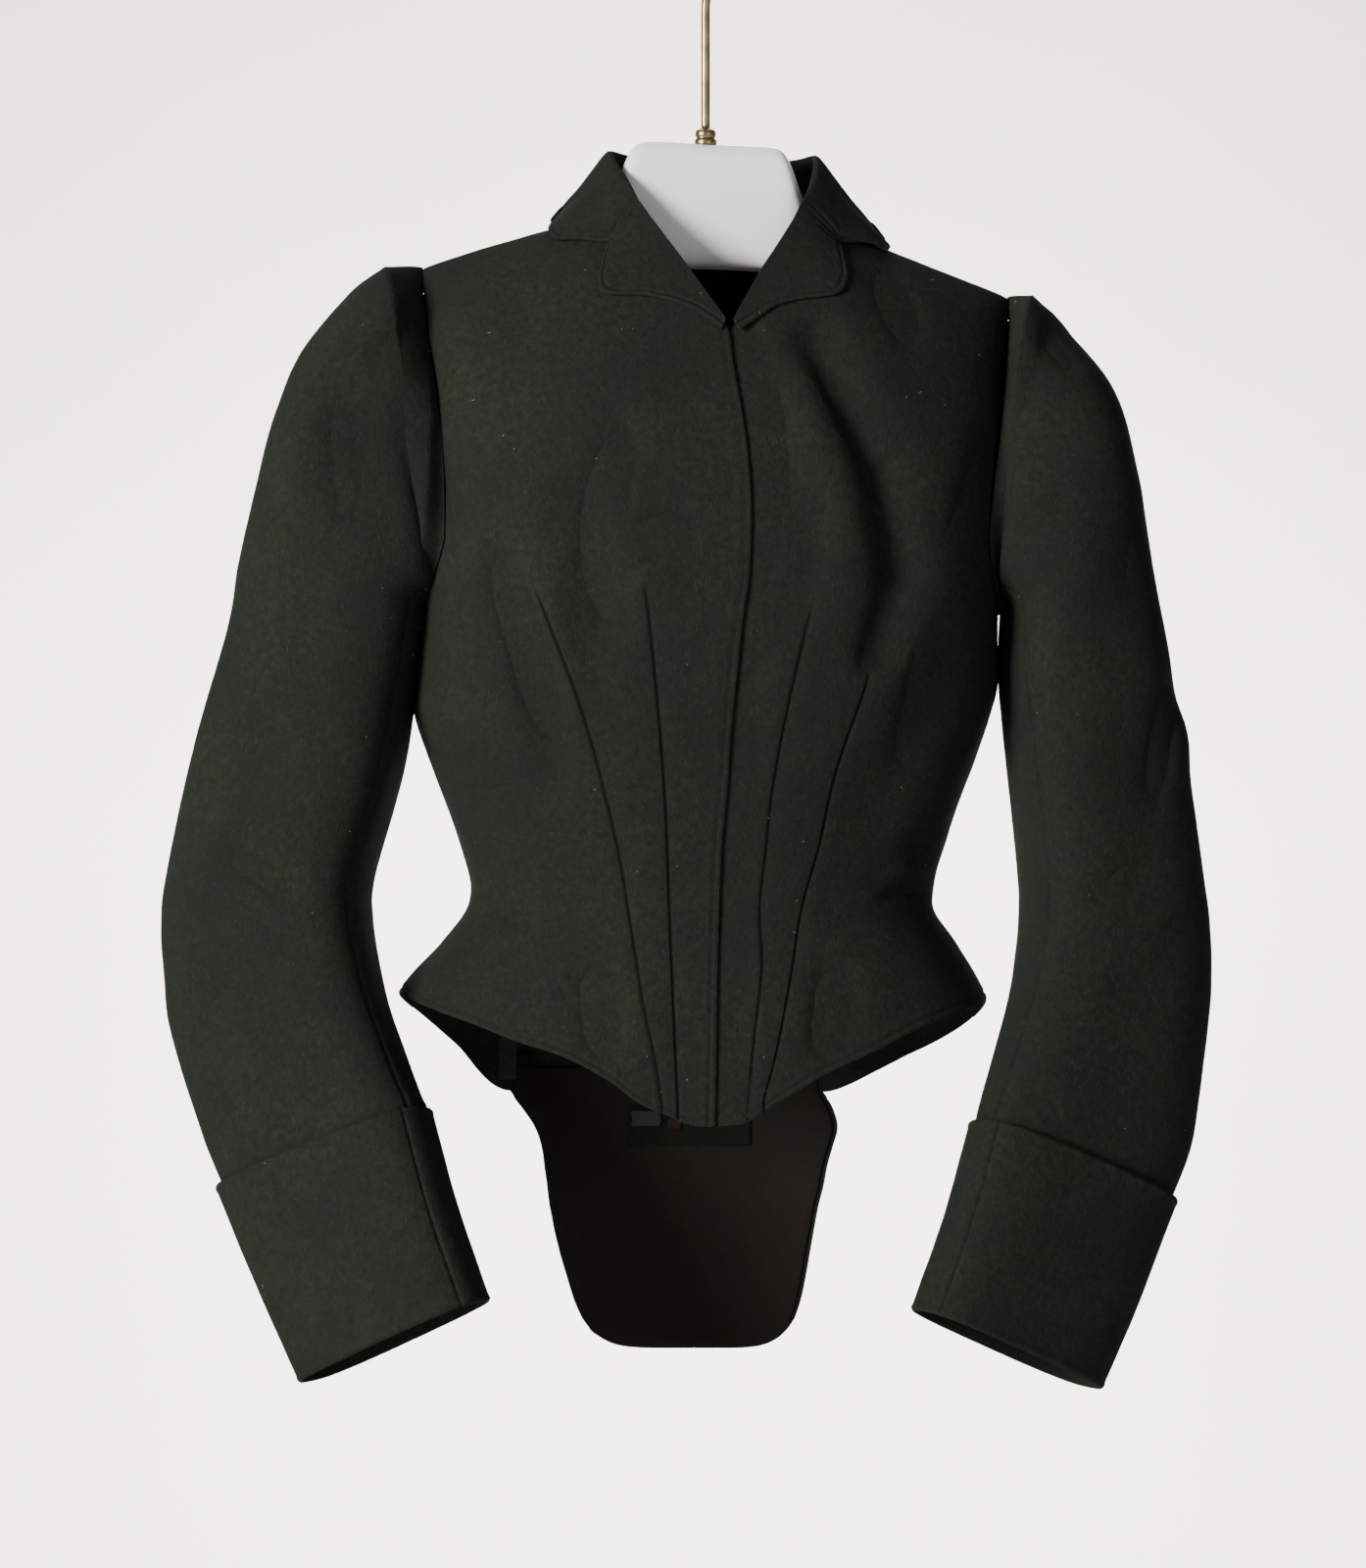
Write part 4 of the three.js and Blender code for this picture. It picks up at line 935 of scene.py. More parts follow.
def gone_along(points, axis):
    """Distances along the rows or columns of a grid from its start and from its end."""
    steps = np.linalg.norm(np.diff(points, axis=axis), axis=-1)
    start = np.zeros((1, points.shape[1])) if axis == 0 else np.zeros((points.shape[0], 1))
    gone = np.concatenate([start, np.cumsum(steps, axis=axis)], axis=axis)
    total = gone[-1:, :] if axis == 0 else gone[:, -1:]
    return gone, total - gone


def seam_dip(distance):
    """The groove that a seam pulls into thick wool."""
    return -0.8 * np.exp(-((distance / 1.1) ** 2)) - 0.4 * np.exp(-((distance / 6) ** 2))


def rolled_edge(distance):
    """A turned edge with a row of stitching a little way in."""
    roll = 0.3 * np.exp(-(((distance - 1.7) / 1.2) ** 2))
    row = -0.5 * np.exp(-(((distance - STITCH_INSET) / 0.8) ** 2))
    return roll + row + 0.2 * np.exp(-(((distance - 5.4) / 1.8) ** 2))


def crease_path(text):
    """A smooth line through the places of one crease."""
    places = np.array([float(word) for word in text.split()]).reshape(-1, 2)
    share = np.linspace(0, len(places) - 1, 8 * (len(places) - 1) + 1)
    return smooth(places[:, None, :], share)[:, 0]


def one_crease(across, height, path, left, right):
    """How strongly one crease shows, from 0 to 1, at places across and above the waist."""
    nearest = np.full(across.shape, np.inf)
    found = np.zeros(across.shape)
    last = len(path) - 1
    for i in range(last):
        (x0, h0), (x1, h1) = path[i], path[i + 1]
        dx, dh = x1 - x0, h1 - h0
        near = np.clip(((across - x0) * dx + (height - h0) * dh) / (dx * dx + dh * dh), 0, 1)
        out, up = across - x0 - dx * near, height - h0 - dh * near
        gap = np.hypot(out, up)
        reach = np.where(dx * up - dh * out > 0, right, left)
        along = (i + near) / last
        strength = np.exp(-((gap / reach) ** 2)) * ease(along * 2.4) * ease((1 - along) * 2.4)
        found = np.where(gap < nearest, strength, found)
        nearest = np.minimum(gap, nearest)
    return found


def creases(points, facing, front, back):
    """The rise of the soft creases at points that face the front or the back."""
    across, height = points[..., 0], points[..., 2] + WAIST_BELOW_HOOK
    total = np.zeros(across.shape)
    for rows, weight in ((front, ease(0.5 - facing * 2)), (back, ease(0.5 + facing * 2))):
        for text, rise, left, right in rows:
            total += weight * rise * one_crease(across, height, crease_path(text), left, right)
    return total


def uneven(points):
    """The faint waves of felted wool that has hung for long."""
    x, y, z = points[..., 0], points[..., 1], points[..., 2]
    slow = np.sin(x / 17 + 1.3 * np.sin(z / 41)) * np.sin(z / 29 + y / 37)
    quick = np.sin(x / 5.3 + z / 9.1 + np.sin(y / 11)) * np.sin(z / 6.7 - x / 13)
    return 0.22 * slow + 0.07 * quick


def grid_facing(points):
    """How far each point of a grid faces the back."""
    rows, columns = np.gradient(points, axis=0), np.gradient(points, axis=1)
    return unit(np.cross(columns, rows))[..., 1]


# ---- Fronts and backs -----------------------------------------------------------------------

LOWER_SHARES = np.linspace(0, 1, 128) ** 1.4
UPPER_SHARES = 1 - (1 - np.linspace(0, 1, 90)) ** 1.6


def lap_turn(side):
    under = 0 if side == "right" else UNDERLAP

    def turn(share):
        height = mix(hem_at(LAP_TURN), ARMHOLE_SHOULDER, np.asarray(share, float))
        return turn_at(read(LAP_EDGE, "height", height, "across") - under, height, False)

    return turn


def under_layer(points):
    """How far the left front sinks where it goes under the right one."""
    height = points[..., 2] + WAIST_BELOW_HOOK
    past = points[..., 0] - read(LAP_EDGE, "height", height, "across")
    return -(WOOL + 2 * LAYER_GAP) * (1 - ease((past - LAP_CLEARANCE) / LAP_EASE))


def with_upper(side, turn, height, start, end, top):
    """Carries the columns of a lower grid on up to the shoulder."""
    fractions = (turn[-1] - turn[-1, 0]) / (turn[-1, -1] - turn[-1, 0])
    shares = UPPER_SHARES[1:, None]
    first, last = start(UPPER_SHARES[1:])[:, None], end(UPPER_SHARES[1:])[:, None]
    upper_turn = mix(first, last, fractions[None])
    upper_height = mix(ARMHOLE_SHOULDER, top(upper_turn) - EDGE_ROUND, shares)
    return np.concatenate([turn, upper_turn]), np.concatenate([height, upper_height])


def front(side):
    """The grids of one front: the wide panel and the strip under the arm."""
    sign = SIGN[side]
    arm = steady(sign * ARMHOLE[side]["front"][0])
    side_seam = steady(sign * SIDE_SEAM_TURN)
    lap = lap_turn(side)
    darts = {}
    for name, rows in DARTS[side].items():
        darts[name] = seam_line(
            side, lambda h, rows=rows: turn_at(read(rows, "height", h, "across"), h, False)
        )

    def arm_edge(share):
        return sign * read(ARMHOLE[side], "share", share, "front")

    def neck_edge(share):
        height = mix(ARMHOLE_SHOULDER, NECK_TOP, share)
        return turn_at(read(NECK_EDGE, "share", share, side), height, False)

    lines = [arm, darts["outer"], darts["inner"], lap]
    counts = [48, 34, 28]
    inset = [0, EDGE_ROUND]
    strip = [side_seam, arm]
    if side == "left":
        lines, counts, inset, strip = lines[::-1], counts[::-1], inset[::-1], strip[::-1]
    places = columns_between(counts)
    turn, height = lower_rows(side, lines, places, LOWER_SHARES, inset)
    edges = [arm_edge, neck_edge] if side == "right" else [neck_edge, arm_edge]
    wide = with_upper(side, turn, height, *edges, shoulder_height)
    strip_inset = [SEAM_INSET, 0] if side == "right" else [0, SEAM_INSET]
    narrow = lower_rows(side, strip, columns_between([26]), LOWER_SHARES, strip_inset)
    return wide, narrow, counts


def dart_dip(side, points, counts):
    """The grooves of the two darts, each closing softly at its top, and the painted shade along them."""
    gone = gone_along(points, 1)[0]
    height = points[..., 2] + WAIST_BELOW_HOOK
    names = ["outer", "inner"] if side == "right" else ["inner", "outer"]
    total, shade = np.zeros(height.shape), np.zeros(height.shape)
    for name, column in zip(names, np.cumsum(counts)[:2]):
        distance = np.abs(gone - gone[:, column : column + 1])
        closing = ease((DART_TOP[side][name] - height) / 14)
        groove = 0.9 * np.exp(-((distance / 0.8) ** 2)) + 0.35 * np.exp(-((distance / 5) ** 2))
        total -= groove * closing
        # Painted shade: the colour darkens along each dart line.
        shade += 0.85 * np.exp(-((distance / 0.9) ** 2)) * closing
    return total, shade


def make_front(side, material):
    wide, narrow, counts = front(side)
    cloth = Cloth()
    for part, (turn, height) in (("wide", wide), ("narrow", narrow)):
        points = body_point(turn, height)
        relief = creases(points, grid_facing(points), FRONT_CREASES, BACK_CREASES)
        lap_edge = read(LAP_EDGE, "height", points[..., 2] + WAIST_BELOW_HOOK, "across")
        relief *= ease((np.abs(points[..., 0] - lap_edge) - 3) / 12)
        relief += uneven(points)
        shade = 0.0
        hem = gone_along(points, 0)[0]
        relief += rolled_edge(hem)
        start, end = gone_along(points, 1)
        if part == "wide":
            # The darts bring painted shade along with their grooves.
            dip, shade = dart_dip(side, points, counts)
            relief += dip
            lap, arm = (end, start) if side == "right" else (start, end)
            relief += rolled_edge(lap) * (side == "right")
            upper = ease((height - ARMHOLE_SHOULDER) / 12)
            relief += 0.15 * seam_dip(arm) * upper + seam_dip(gone_along(points, 0)[1])
        else:
            relief += seam_dip(start if side == "right" else end)
            relief += 0.1 * seam_dip(gone_along(points, 0)[1])
        if side == "left":
            relief += under_layer(points)
        cloth.add(points, relief, shade)
        stitch_row(points, relief, hem, 0)
        if part == "wide" and side == "right":
            stitch_row(points, relief, lap, 1, hem > STITCH_INSET)
    sew(f"front_{side}", cloth, WOOL, material, "wool")


def back_seam(side):
    def turn_of_height(height):
        return turn_at(read(BACK_SEAM, "height", height, side), height, True)

    line = seam_line(side, turn_of_height)
    top = SIGN[side] * ARMHOLE[side]["back"][0]

    def turn(share):
        share = np.asarray(share, float)
        return np.where(share > 0.999, top, line(share))

    return turn


def back_top(turn):
    """The neck edge of the backs, below the shoulder line near the middle."""
    across = bare_body(turn, np.full(np.shape(turn), float(SHOULDER_RING)))[..., 0]
    inside = (across > BACK_NECK["across"][0]) & (across < BACK_NECK["across"][-1])
    shoulder = shoulder_height(turn)
    neck = np.minimum(shoulder, read(BACK_NECK, "across", across, "height"))
    return np.where(inside, neck, shoulder)


def tail_rows(side, places):
    """Turns and heights of a half tail, from its low end up to the hem."""
    sign = SIGN[side]
    seam = back_seam(side)(np.array([0.0]))[0]
    shares = (1 - np.cos(np.pi * np.linspace(0, 1, 80) / 2)) * 0.6 + np.linspace(0, 1, 80) * 0.4
    shares = shares[:, None]
    low = TAIL_END + TAIL_CORNER_RISE * places**TAIL_CORNER_POWER + EDGE_ROUND
    height = mix(low, hem_at(mix(sign * 2, seam, places)) + EDGE_ROUND, shares)
    edge_height = mix(TAIL_END + TAIL_CORNER_RISE, hem_at(seam), shares)
    side_turn = turn_at(read(TAIL_EDGE, "height", edge_height, side), edge_height, True)
    side_turn = np.where(shares > 0.999, seam, side_turn)
    middle = move_turn(sign * 2.0, height[:, :1], -sign * SEAM_INSET)
    outer = move_turn(side_turn, height, sign * EDGE_ROUND)
    return mix(middle, outer, places), height


def back(side):
    """The grids of one back: the panel up to the shoulder and its half of the tail."""
    sign = SIGN[side]
    middle = steady(sign * 2)

    def arm_edge(share):
        return sign * read(ARMHOLE[side], "share", share, "back")

    lines = [middle, back_seam(side)]
    inset = [SEAM_INSET, SEAM_INSET]
    edges = [lambda share: move_turn(steady(sign * 2)(share), 250.0, -sign * SEAM_INSET), arm_edge]
    if side == "left":
        lines, edges = lines[::-1], edges[::-1]
    places = columns_between([56])
    turn, height = lower_rows(side, lines, places, LOWER_SHARES, inset)
    main = with_upper(side, turn, height, *edges, back_top)
    tail = tail_rows(side, places)
    if side == "left":
        tail = tuple(rows[:, ::-1] for rows in tail)
    # The tail's top row and the panel's hem row are one row.
    tail[0][-1], tail[1][-1] = main[0][0], main[1][0]
    return main, tail


def make_back(side, material):
    main, tail = back(side)
    cloth = Cloth(stacked=True)
    for part, (turn, height) in (("main", main), ("tail", tail)):
        points = body_point(turn, height)
        relief = creases(points, grid_facing(points), FRONT_CREASES, BACK_CREASES)
        relief += uneven(points)
        start, end = gone_along(points, 1)
        centre, outside = (start, end) if side == "right" else (end, start)
        relief += seam_dip(centre)
        if part == "main":
            relief += seam_dip(outside) + seam_dip(gone_along(points, 0)[1])
        else:
            below = ease((gone_along(points, 0)[1]) / 12)
            relief += rolled_edge(outside) * below + rolled_edge(gone_along(points, 0)[0])
        cloth.add(points, relief)
        if part == "tail":
            stitch_row(points, relief, gone_along(points, 0)[0], 0)
            stitch_row(points, relief, outside, 1, gone_along(points, 0)[0] > STITCH_INSET)
    name = f"back_{side}"
    return sew(name, cloth, WOOL, material, "wool")


def make_side_back(side, material):
    lines = [back_seam(side), steady(SIGN[side] * SIDE_SEAM_TURN)]
    if side == "left":
        lines = lines[::-1]
    turn, height = lower_rows(side, lines, columns_between([34]), LOWER_SHARES, [SEAM_INSET] * 2)
    points = body_point(turn, height)
    relief = creases(points, grid_facing(points), FRONT_CREASES, BACK_CREASES)
    relief += uneven(points) + rolled_edge(gone_along(points, 0)[0])
    for axis, end in ((1, 0), (1, 1), (0, 1)):
        relief += seam_dip(gone_along(points, axis)[end])
    cloth = Cloth()
    cloth.add(points, relief)
    stitch_row(points, relief, gone_along(points, 0)[0], 0)
    name = f"side_back_{side}"
    return sew(name, cloth, WOOL, material, "wool")


# ---- Sleeves and cuffs ----------------------------------------------------------------------

FRONT_SEAM_ANGLE = math.radians(160)
BACK_SEAM_ANGLE = math.radians(330)
FULL_TURN = 2 * math.pi


def rounded(value):
    return np.sign(value) * np.abs(value) ** (2 / SLEEVE_SQUARENESS)


def squared(swing):
    """Flattens the round of a sleeve that hangs empty."""
    return rounded(swing) * mix(1, np.abs(rounded(swing)) ** (SLEEVE_FLATNESS - 1), np.abs(swing) > 0.01)


def section(rows, run, angle):
    """Points round a sleeve or a cuff, a row for each run."""

    def ends(where):
        return [
            place(*(read(rows, "run", where, end + axis) for axis in "xyz")) for end in "oi"
        ]

    outer, inner = ends(run)
    ahead = sum(ends(np.minimum(run + 0.3, rows["run"][-1])))
    behind = sum(ends(np.maximum(run - 0.3, rows["run"][0])))
    long = (outer - inner) / 2 * SLEEVE_NARROWING
    short = unit(np.cross(ahead - behind, long)) * read(rows, "run", run, "depth")[:, None]
    short = np.where(short[:, 1:2] > 0, -short, short)
    swing = [squared(np.cos(angle))[None, :, None], squared(np.sin(angle))[None, :, None]]
    return ((outer + inner) / 2)[:, None] + long[:, None] * swing[0] + short[:, None] * swing[1]


def armhole_points(side, angle):
    """Points of the armhole's edge, one for each angle round the sleeve."""
    sign, rows = SIGN[side], ARMHOLE[side]
    top = shoulder_height(sign * rows["front"][-1])
    height = mix(ARMHOLE_BOTTOM, top, 0.5 + 0.5 * np.cos(angle))
    in_front = np.sin(angle) >= 0
    share = (height - ARMHOLE_SHOULDER) / (top - ARMHOLE_SHOULDER)
    above = np.where(
        in_front, read(rows, "share", share, "front"), read(rows, "share", share, "back")
    )
    low, high = rows["front"][0], rows["back"][0]
    dip = np.clip((ARMHOLE_SHOULDER - height) / (ARMHOLE_SHOULDER - ARMHOLE_BOTTOM), 0, 1)
    swing = np.sqrt(np.maximum(0, 1 - dip ** (1 / ARMHOLE_CURVE))) * (high - low) / 2
    below = (low + high) / 2 + np.where(in_front, -swing, swing)
    turn = sign * np.where(height > ARMHOLE_SHOULDER, above, below)
    return bare_body(turn, np.minimum(height, shoulder_height(turn)))


def sleeve_points(side, run, angle):
    points = section(SLEEVE[side], np.maximum(run, 1), angle)
    head = ease(run)[:, None, None]
    return np.where(head < 1, mix(armhole_points(side, angle)[None], points, head), points)


def tube_grid(points_at, runs, start, end, count):
    """A strip of a tube between two angles."""
    angle = mix(start, end, columns_between([count]))
    return points_at(runs, angle)


def make_sleeve(side, material):
    def points_at(run, angle):
        return sleeve_points(side, run, angle)

    runs = np.concatenate([np.linspace(0.04, 1, 26)[:-1], np.linspace(1, 16, 170)])
    for name, start, end in (
        ("top_sleeve", BACK_SEAM_ANGLE, FRONT_SEAM_ANGLE + FULL_TURN),
        ("under_sleeve", FRONT_SEAM_ANGLE, BACK_SEAM_ANGLE),
    ):
        inset = math.radians(0.7)
        points = tube_grid(points_at, runs, start + inset, end - inset, 64)
        points = points[::-1] if side == "right" else points
        relief = creases(
            points, grid_facing(points), SLEEVE_FRONT_CREASES, SLEEVE_BACK_CREASES
        ) + uneven(points)
        sides = gone_along(points, 1)
        head = gone_along(points, 0)[1 if side == "right" else 0]
        relief *= ease(head / 7)
        relief += seam_dip(sides[0]) + seam_dip(sides[1])
        relief += 0.3 * seam_dip(head)
        full = np.exp(-(((runs - 1) / 0.75) ** 2)) * ease(runs / 0.3)
        full = (full[::-1] if side == "right" else full)[:, None]
        high = ease((points[..., 2] + WAIST_BELOW_HOOK - 215) / 70)
        relief += HEAD_FULLNESS * full * high * np.abs(grid_facing(points))
        cloth = Cloth()
        cloth.add(points, relief)
        node = f"{name}_{side}"
        sew(node, cloth, WOOL, material, "wool")


CUFF_SEAM_ANGLE = math.radians(152)


def make_cuff(side, material):
    ends = (1 - np.cos(np.pi * np.linspace(0, 1, 90))) / 2
    runs = 2 * (0.4 * np.linspace(0, 1, 90) + 0.6 * ends)
    share = columns_between([160])
    angle = CUFF_SEAM_ANGLE + FULL_TURN * share
    points = section(CUFF[side], runs, angle)
    points[:, -1] = points[:, 0]
    points = points[::-1] if side == "right" else points
    relief = uneven(points)
    start, end = gone_along(points, 1)
    relief += seam_dip(np.minimum(start, end))
    for distance in gone_along(points, 0):
        relief += 0.35 * np.exp(-(((distance - 1.8) / 1.4) ** 2))
        relief -= 0.5 * np.exp(-((distance / 0.7) ** 2))
    cloth = Cloth()
    cloth.add(points, relief)
    node = f"cuff_{side}"
    return sew(node, cloth, CUFF_WOOL, material, "wool")


# ---- Collar and lapels ----------------------------------------------------------------------


def on_body(across, height, behind, rise):
    """A point on top of the body's cloth."""
    turn = turn_at(across, np.minimum(height, TURN_CEILING), behind)
    level = np.minimum(height, shoulder_height(turn))
    return bare_body(turn, level) + body_normal(turn, level) * rise


def smooth(values, places):
    """An array's rows read at places between them, on a smooth curve."""
    last = len(values) - 1
    i = np.minimum(places.astype(int), last - 1)
    near = np.arange(last + 1)
    before, after = np.maximum(near - 1, 0), np.minimum(near + 1, last)
    slope = (values[after] - values[before]) / (after - before)[:, None, None]
    t = (places - i)[:, None, None]
    return (
        (2 * t**3 - 3 * t**2 + 1) * values[i]
        + (t**3 - 2 * t**2 + t) * slope[i]
        + (3 * t**2 - 2 * t**3) * values[i + 1]
        + (t**3 - t**2) * slope[i + 1]
    )


def finer(points, rows, columns):
    """A grid of points made finer in both directions."""
    points = smooth(points, rows)
    return smooth(points.transpose(1, 0, 2), columns).transpose(1, 0, 2)


def spread(count, last):
    """Places from 0 to the last, closer together at both ends."""
    share = np.linspace(0, 1, count)
    return last * (0.4 * share + 0.3 * (1 - np.cos(np.pi * share)))


def collar_points():
    last_run = len(COLLAR["run"]) - 1
    lines = []
    for run in np.linspace(0, last_run, 2 * last_run + 1):
        row = {name: read(COLLAR, "run", run, name) for name in COLLAR}
        behind = COLLAR_BEHIND < run < last_run - COLLAR_BEHIND
        layer = WOOL + LAYER_GAP
        edge = on_body(row["edge_x"], row["edge_z"], behind, layer + COLLAR_EASE * LAYER_GAP)
        crest = place(row["crest_x"], row["crest_y"], row["crest_z"])
        seam = place(row["seam_x"], row["seam_y"], row["seam_z"])
        outward = unit(np.array([crest[0] - NECK_CENTRE, crest[1], 0]))
        up = np.array([0, 0, 1.0])
        standing = crest - outward * CREST_ROLL["inside"] - up * CREST_ROLL["inside_drop"]
        end = np.clip(1 - min(run, last_run - run), 0, 1)
        side = "right" if run < last_run / 2 else "left"
        corner = on_body(*NOTCH[side], False, layer)
        falling = crest + outward * CREST_ROLL["outside"] - up * CREST_ROLL["outside_drop"]
        falling = mix(falling, mix(crest, corner, END_FALL), end)
        notch = mix(mix(edge, falling, 0.5), corner, end)
        lines.append(
            [
                edge,
                mix(edge, notch, 0.5) + up * (1 - end),
                notch,
                mix(notch, falling, 0.5),
                falling,
                crest,
                standing,
                mix(standing, seam, 0.5),
                seam,
            ]
        )
    return np.array(lines)


def make_collar(material):
    coarse = collar_points()
    points = finer(coarse, spread(170, len(coarse) - 1), spread(64, coarse.shape[1] - 1))
    relief = uneven(points) * 0.6
    edge = gone_along(points, 1)[0]
    relief += rolled_edge(edge)
    for distance in gone_along(points, 0):
        relief += rolled_edge(distance) * ease((edge - 2) / 3) * ease((60 - edge) / 20)
    cloth = Cloth()
    cloth.add(points, relief)
    stitch_row(points, relief, edge, 1)
    return sew("collar", cloth, WOOL, material, "wool")


def lapel_points(side):
    rows = LAPEL[side]
    lines = []
    for share in np.linspace(0, 1, 13):
        row = {name: read(rows, "share", share, name) for name in rows}
        edge = on_body(row["edge_x"], row["edge_z"], False, LAYER_GAP)
        roll = place(row["roll_x"], mix(*ROLL_DEPTH, share), row["roll_z"])
        points = mix(edge[None], roll[None], np.linspace(0, 1, 7)[:, None])
        height = points[:, 2] + WAIST_BELOW_HOOK
        turn = turn_at(points[:, 0], height, False)
        rise = LAYER_GAP / np.maximum(0.5, np.abs(body_normal(turn, height)[:, 1]))
        flat = np.minimum(points[:, 1], bare_body(turn, height)[:, 1] - rise)
        points[:, 1] = np.where(height < shoulder_height(turn), flat, points[:, 1])
        lines.append(points)
    return np.array(lines)


def make_lapel(side, material):
    coarse = lapel_points(side)
    points = finer(coarse, spread(90, len(coarse) - 1), spread(44, coarse.shape[1] - 1))
    points = points if side == "right" else points[:, ::-1]
    rows, columns = np.gradient(points, axis=0), np.gradient(points, axis=1)
    points = points + unit(np.cross(columns, rows)) * WOOL
    relief = uneven(points) * 0.6
    start, end = gone_along(points, 1)
    outside = start if side == "right" else end
    relief += rolled_edge(outside)
    relief += rolled_edge(gone_along(points, 0)[1]) * ease((outside - 2) / 3) * ease((24 - outside) / 8)
    cloth = Cloth()
    cloth.add(points, relief)
    stitch_row(points, relief, outside, 1)
    node = f"lapel_{side}"
    return sew(node, cloth, WOOL, material, "wool")


# ---- Linings, band and tape -----------------------------------------------------------------


def make_patch(node, material, slot, heights, edges, lift):
    """A patch laid inside the tail, from the backs' surface moved in."""
    height = heights[:, None]
    first, last = edges(height)
    across = mix(first, last, np.linspace(0, 1, 60)[None])
    turn = turn_at(across, height, True)
    turn = np.where(turn < 0, turn + 4, turn)
    points = body_point(turn, np.broadcast_to(height, turn.shape))
    points = points + body_normal(turn, np.broadcast_to(height, turn.shape)) * lift
    points = points[:, ::-1]
    cloth = Cloth()
    cloth.add(points, uneven(points) * PATCH_RIPPLE)
    return sew(node, cloth, LINING, material, slot)


def make_linings(lining, band, tape):
    def tail(height):
        rise = TAIL_CORNER_RISE - TAIL_LINING["margin"]
        corner = np.clip((TAIL_END + TAIL_CORNER_RISE - height) / rise, 0, 1)
        margin = TAIL_LINING["margin"] + TAIL_LINING["corner"] * corner**3
        right = read(TAIL_EDGE, "height", height, "right") + margin
        return right, read(TAIL_EDGE, "height", height, "left") - margin

    lift = -WOOL - LAYER_GAP
    heights = np.linspace(TAIL_LINING["low"], TAIL_LINING["high"], 90)
    make_patch("tail_lining", lining, "lining", heights, tail, lift)
    for node, material, slot, box, extra, rests_on in (
        ("tail_band", band, "band", TAIL_BAND, -LINING - LAYER_GAP, ["tail_lining"]),
        ("seam_tape", tape, "tape", SEAM_TAPE, 0, ["side_back_right"]),
    ):
        levels = np.linspace(box["low"], box["high"], 20)
        ends = [np.full((20, 1), box[side]) for side in SIGN]
        make_patch(node, material, slot, levels, lambda height, ends=ends: ends, lift + extra)


def make_tab(name, material, box, lift):
    """A little piece of cloth on the tail's inside."""
    heights = np.linspace(box["low"], box["high"], 10)[:, None]
    across = mix(box["right"], box["left"], np.linspace(0, 1, 16)[None]) + 0 * heights
    across = across + TAB_WAVE * np.sin(heights)
    turn = turn_at(across, heights, True)
    turn = np.where(turn < 0, turn + 4, turn)
    level = np.broadcast_to(heights, turn.shape)
    points = body_point(turn, level) + body_normal(turn, level) * lift
    cloth = Cloth()
    cloth.add(points[:, ::-1], uneven(points) * TAB_RIPPLE)
    piece = put(name, cloth.mesh(name, LINING), material)
    width, length, area = cloth.cut()
    return piece


def tube(line, radius, count):
    """Points and faces of a round tube along a line, closed at both ends."""
    way = unit(np.gradient(line, axis=0))
    side = unit(np.cross(way, np.array([0.31, 0.52, 0.79])))
    up = np.cross(way, side)
    angle = np.linspace(0, FULL_TURN, count, endpoint=False)
    around = np.cos(angle)[None, :, None] * side[:, None] + np.sin(angle)[None, :, None] * up[:, None]
    points = (line[:, None] + around * np.reshape(radius, (-1, 1, 1))).reshape(-1, 3)
    index = np.arange(len(points)).reshape(len(line), count)
    faces = loop_faces(len(line), count)
    caps = [[index[0, 0], index[0, k + 1], index[0, k]] for k in range(1, count - 1)]
    caps += [[index[-1, 0], index[-1, k], index[-1, k + 1]] for k in range(1, count - 1)]
    return points, [list(face) for face in faces] + caps


def make_tubes(name, lines, radii, count, material):
    """Many little tubes as one piece."""
    points, faces, used = [], [], 0
    for line, radius in zip(lines, radii):
        new_points, new_faces = tube(line, radius, count)
        points.append(new_points)
        faces += [[corner + used for corner in face] for face in new_faces]
        used += len(new_points)
    return put(name, plain_mesh(name, np.concatenate(points), faces), material)


def make_stitches(material):
    """The rows of sewing beside the edges."""
    pitch, length, radius = sizes().stitch_pitch / MM, sizes().stitch_length / MM, sizes().thread_radius / MM
    lines, radii = [], []
    for line, facing in STITCH_ROWS:
        gone = np.concatenate([[0], np.cumsum(np.linalg.norm(np.diff(line, axis=0), axis=-1))])
        for start in np.arange(pitch, gone[-1] - pitch, pitch):
            along = start + length * np.array(STITCH_SHARES)
            place_on = np.stack([np.interp(along, gone, line[:, k]) for k in range(3)], -1)
            out = unit(np.stack([np.interp(along, gone, facing[:, k]) for k in range(3)], -1))
            lines.append(place_on + out * np.array(STITCH_RISE)[:, None])
            radii.append(np.full(len(STITCH_RISE), radius))
    return make_tubes("edge_stitches", lines, radii, STITCH_SIDES, material)


def make_lint(material):
    """Pale fibres caught on the wool."""
    chance = np.random.default_rng(LINT_SEED)
    lines, radii = [], []
    for piece in [o for o in bpy.data.objects if o.name.endswith("_wool")]:
        corners = piece.data.vertices
        size = len(corners) // 2
        wide, _, tall = piece.dimensions
        for number in chance.integers(0, size, int(sizes().lint_density * wide * tall)):
            spot = np.array(corners[int(number)].co) / MM
            out = np.array(corners[int(number)].normal)
            way = unit(np.cross(out, chance.normal(size=3)))
            bend = np.cross(out, way)
            share = np.linspace(-1, 1, 5)[:, None]
            length = chance.uniform(*LINT_REACH)
            curl = chance.uniform(-LINT_CURL, LINT_CURL)
            lines.append(spot + out * LINT_RISE + way * share * length + bend * share**2 * curl)
            radii.append(np.array(LINT_RADII))
    return make_tubes("lint_fibres", lines, radii, LINT_SIDES, material)


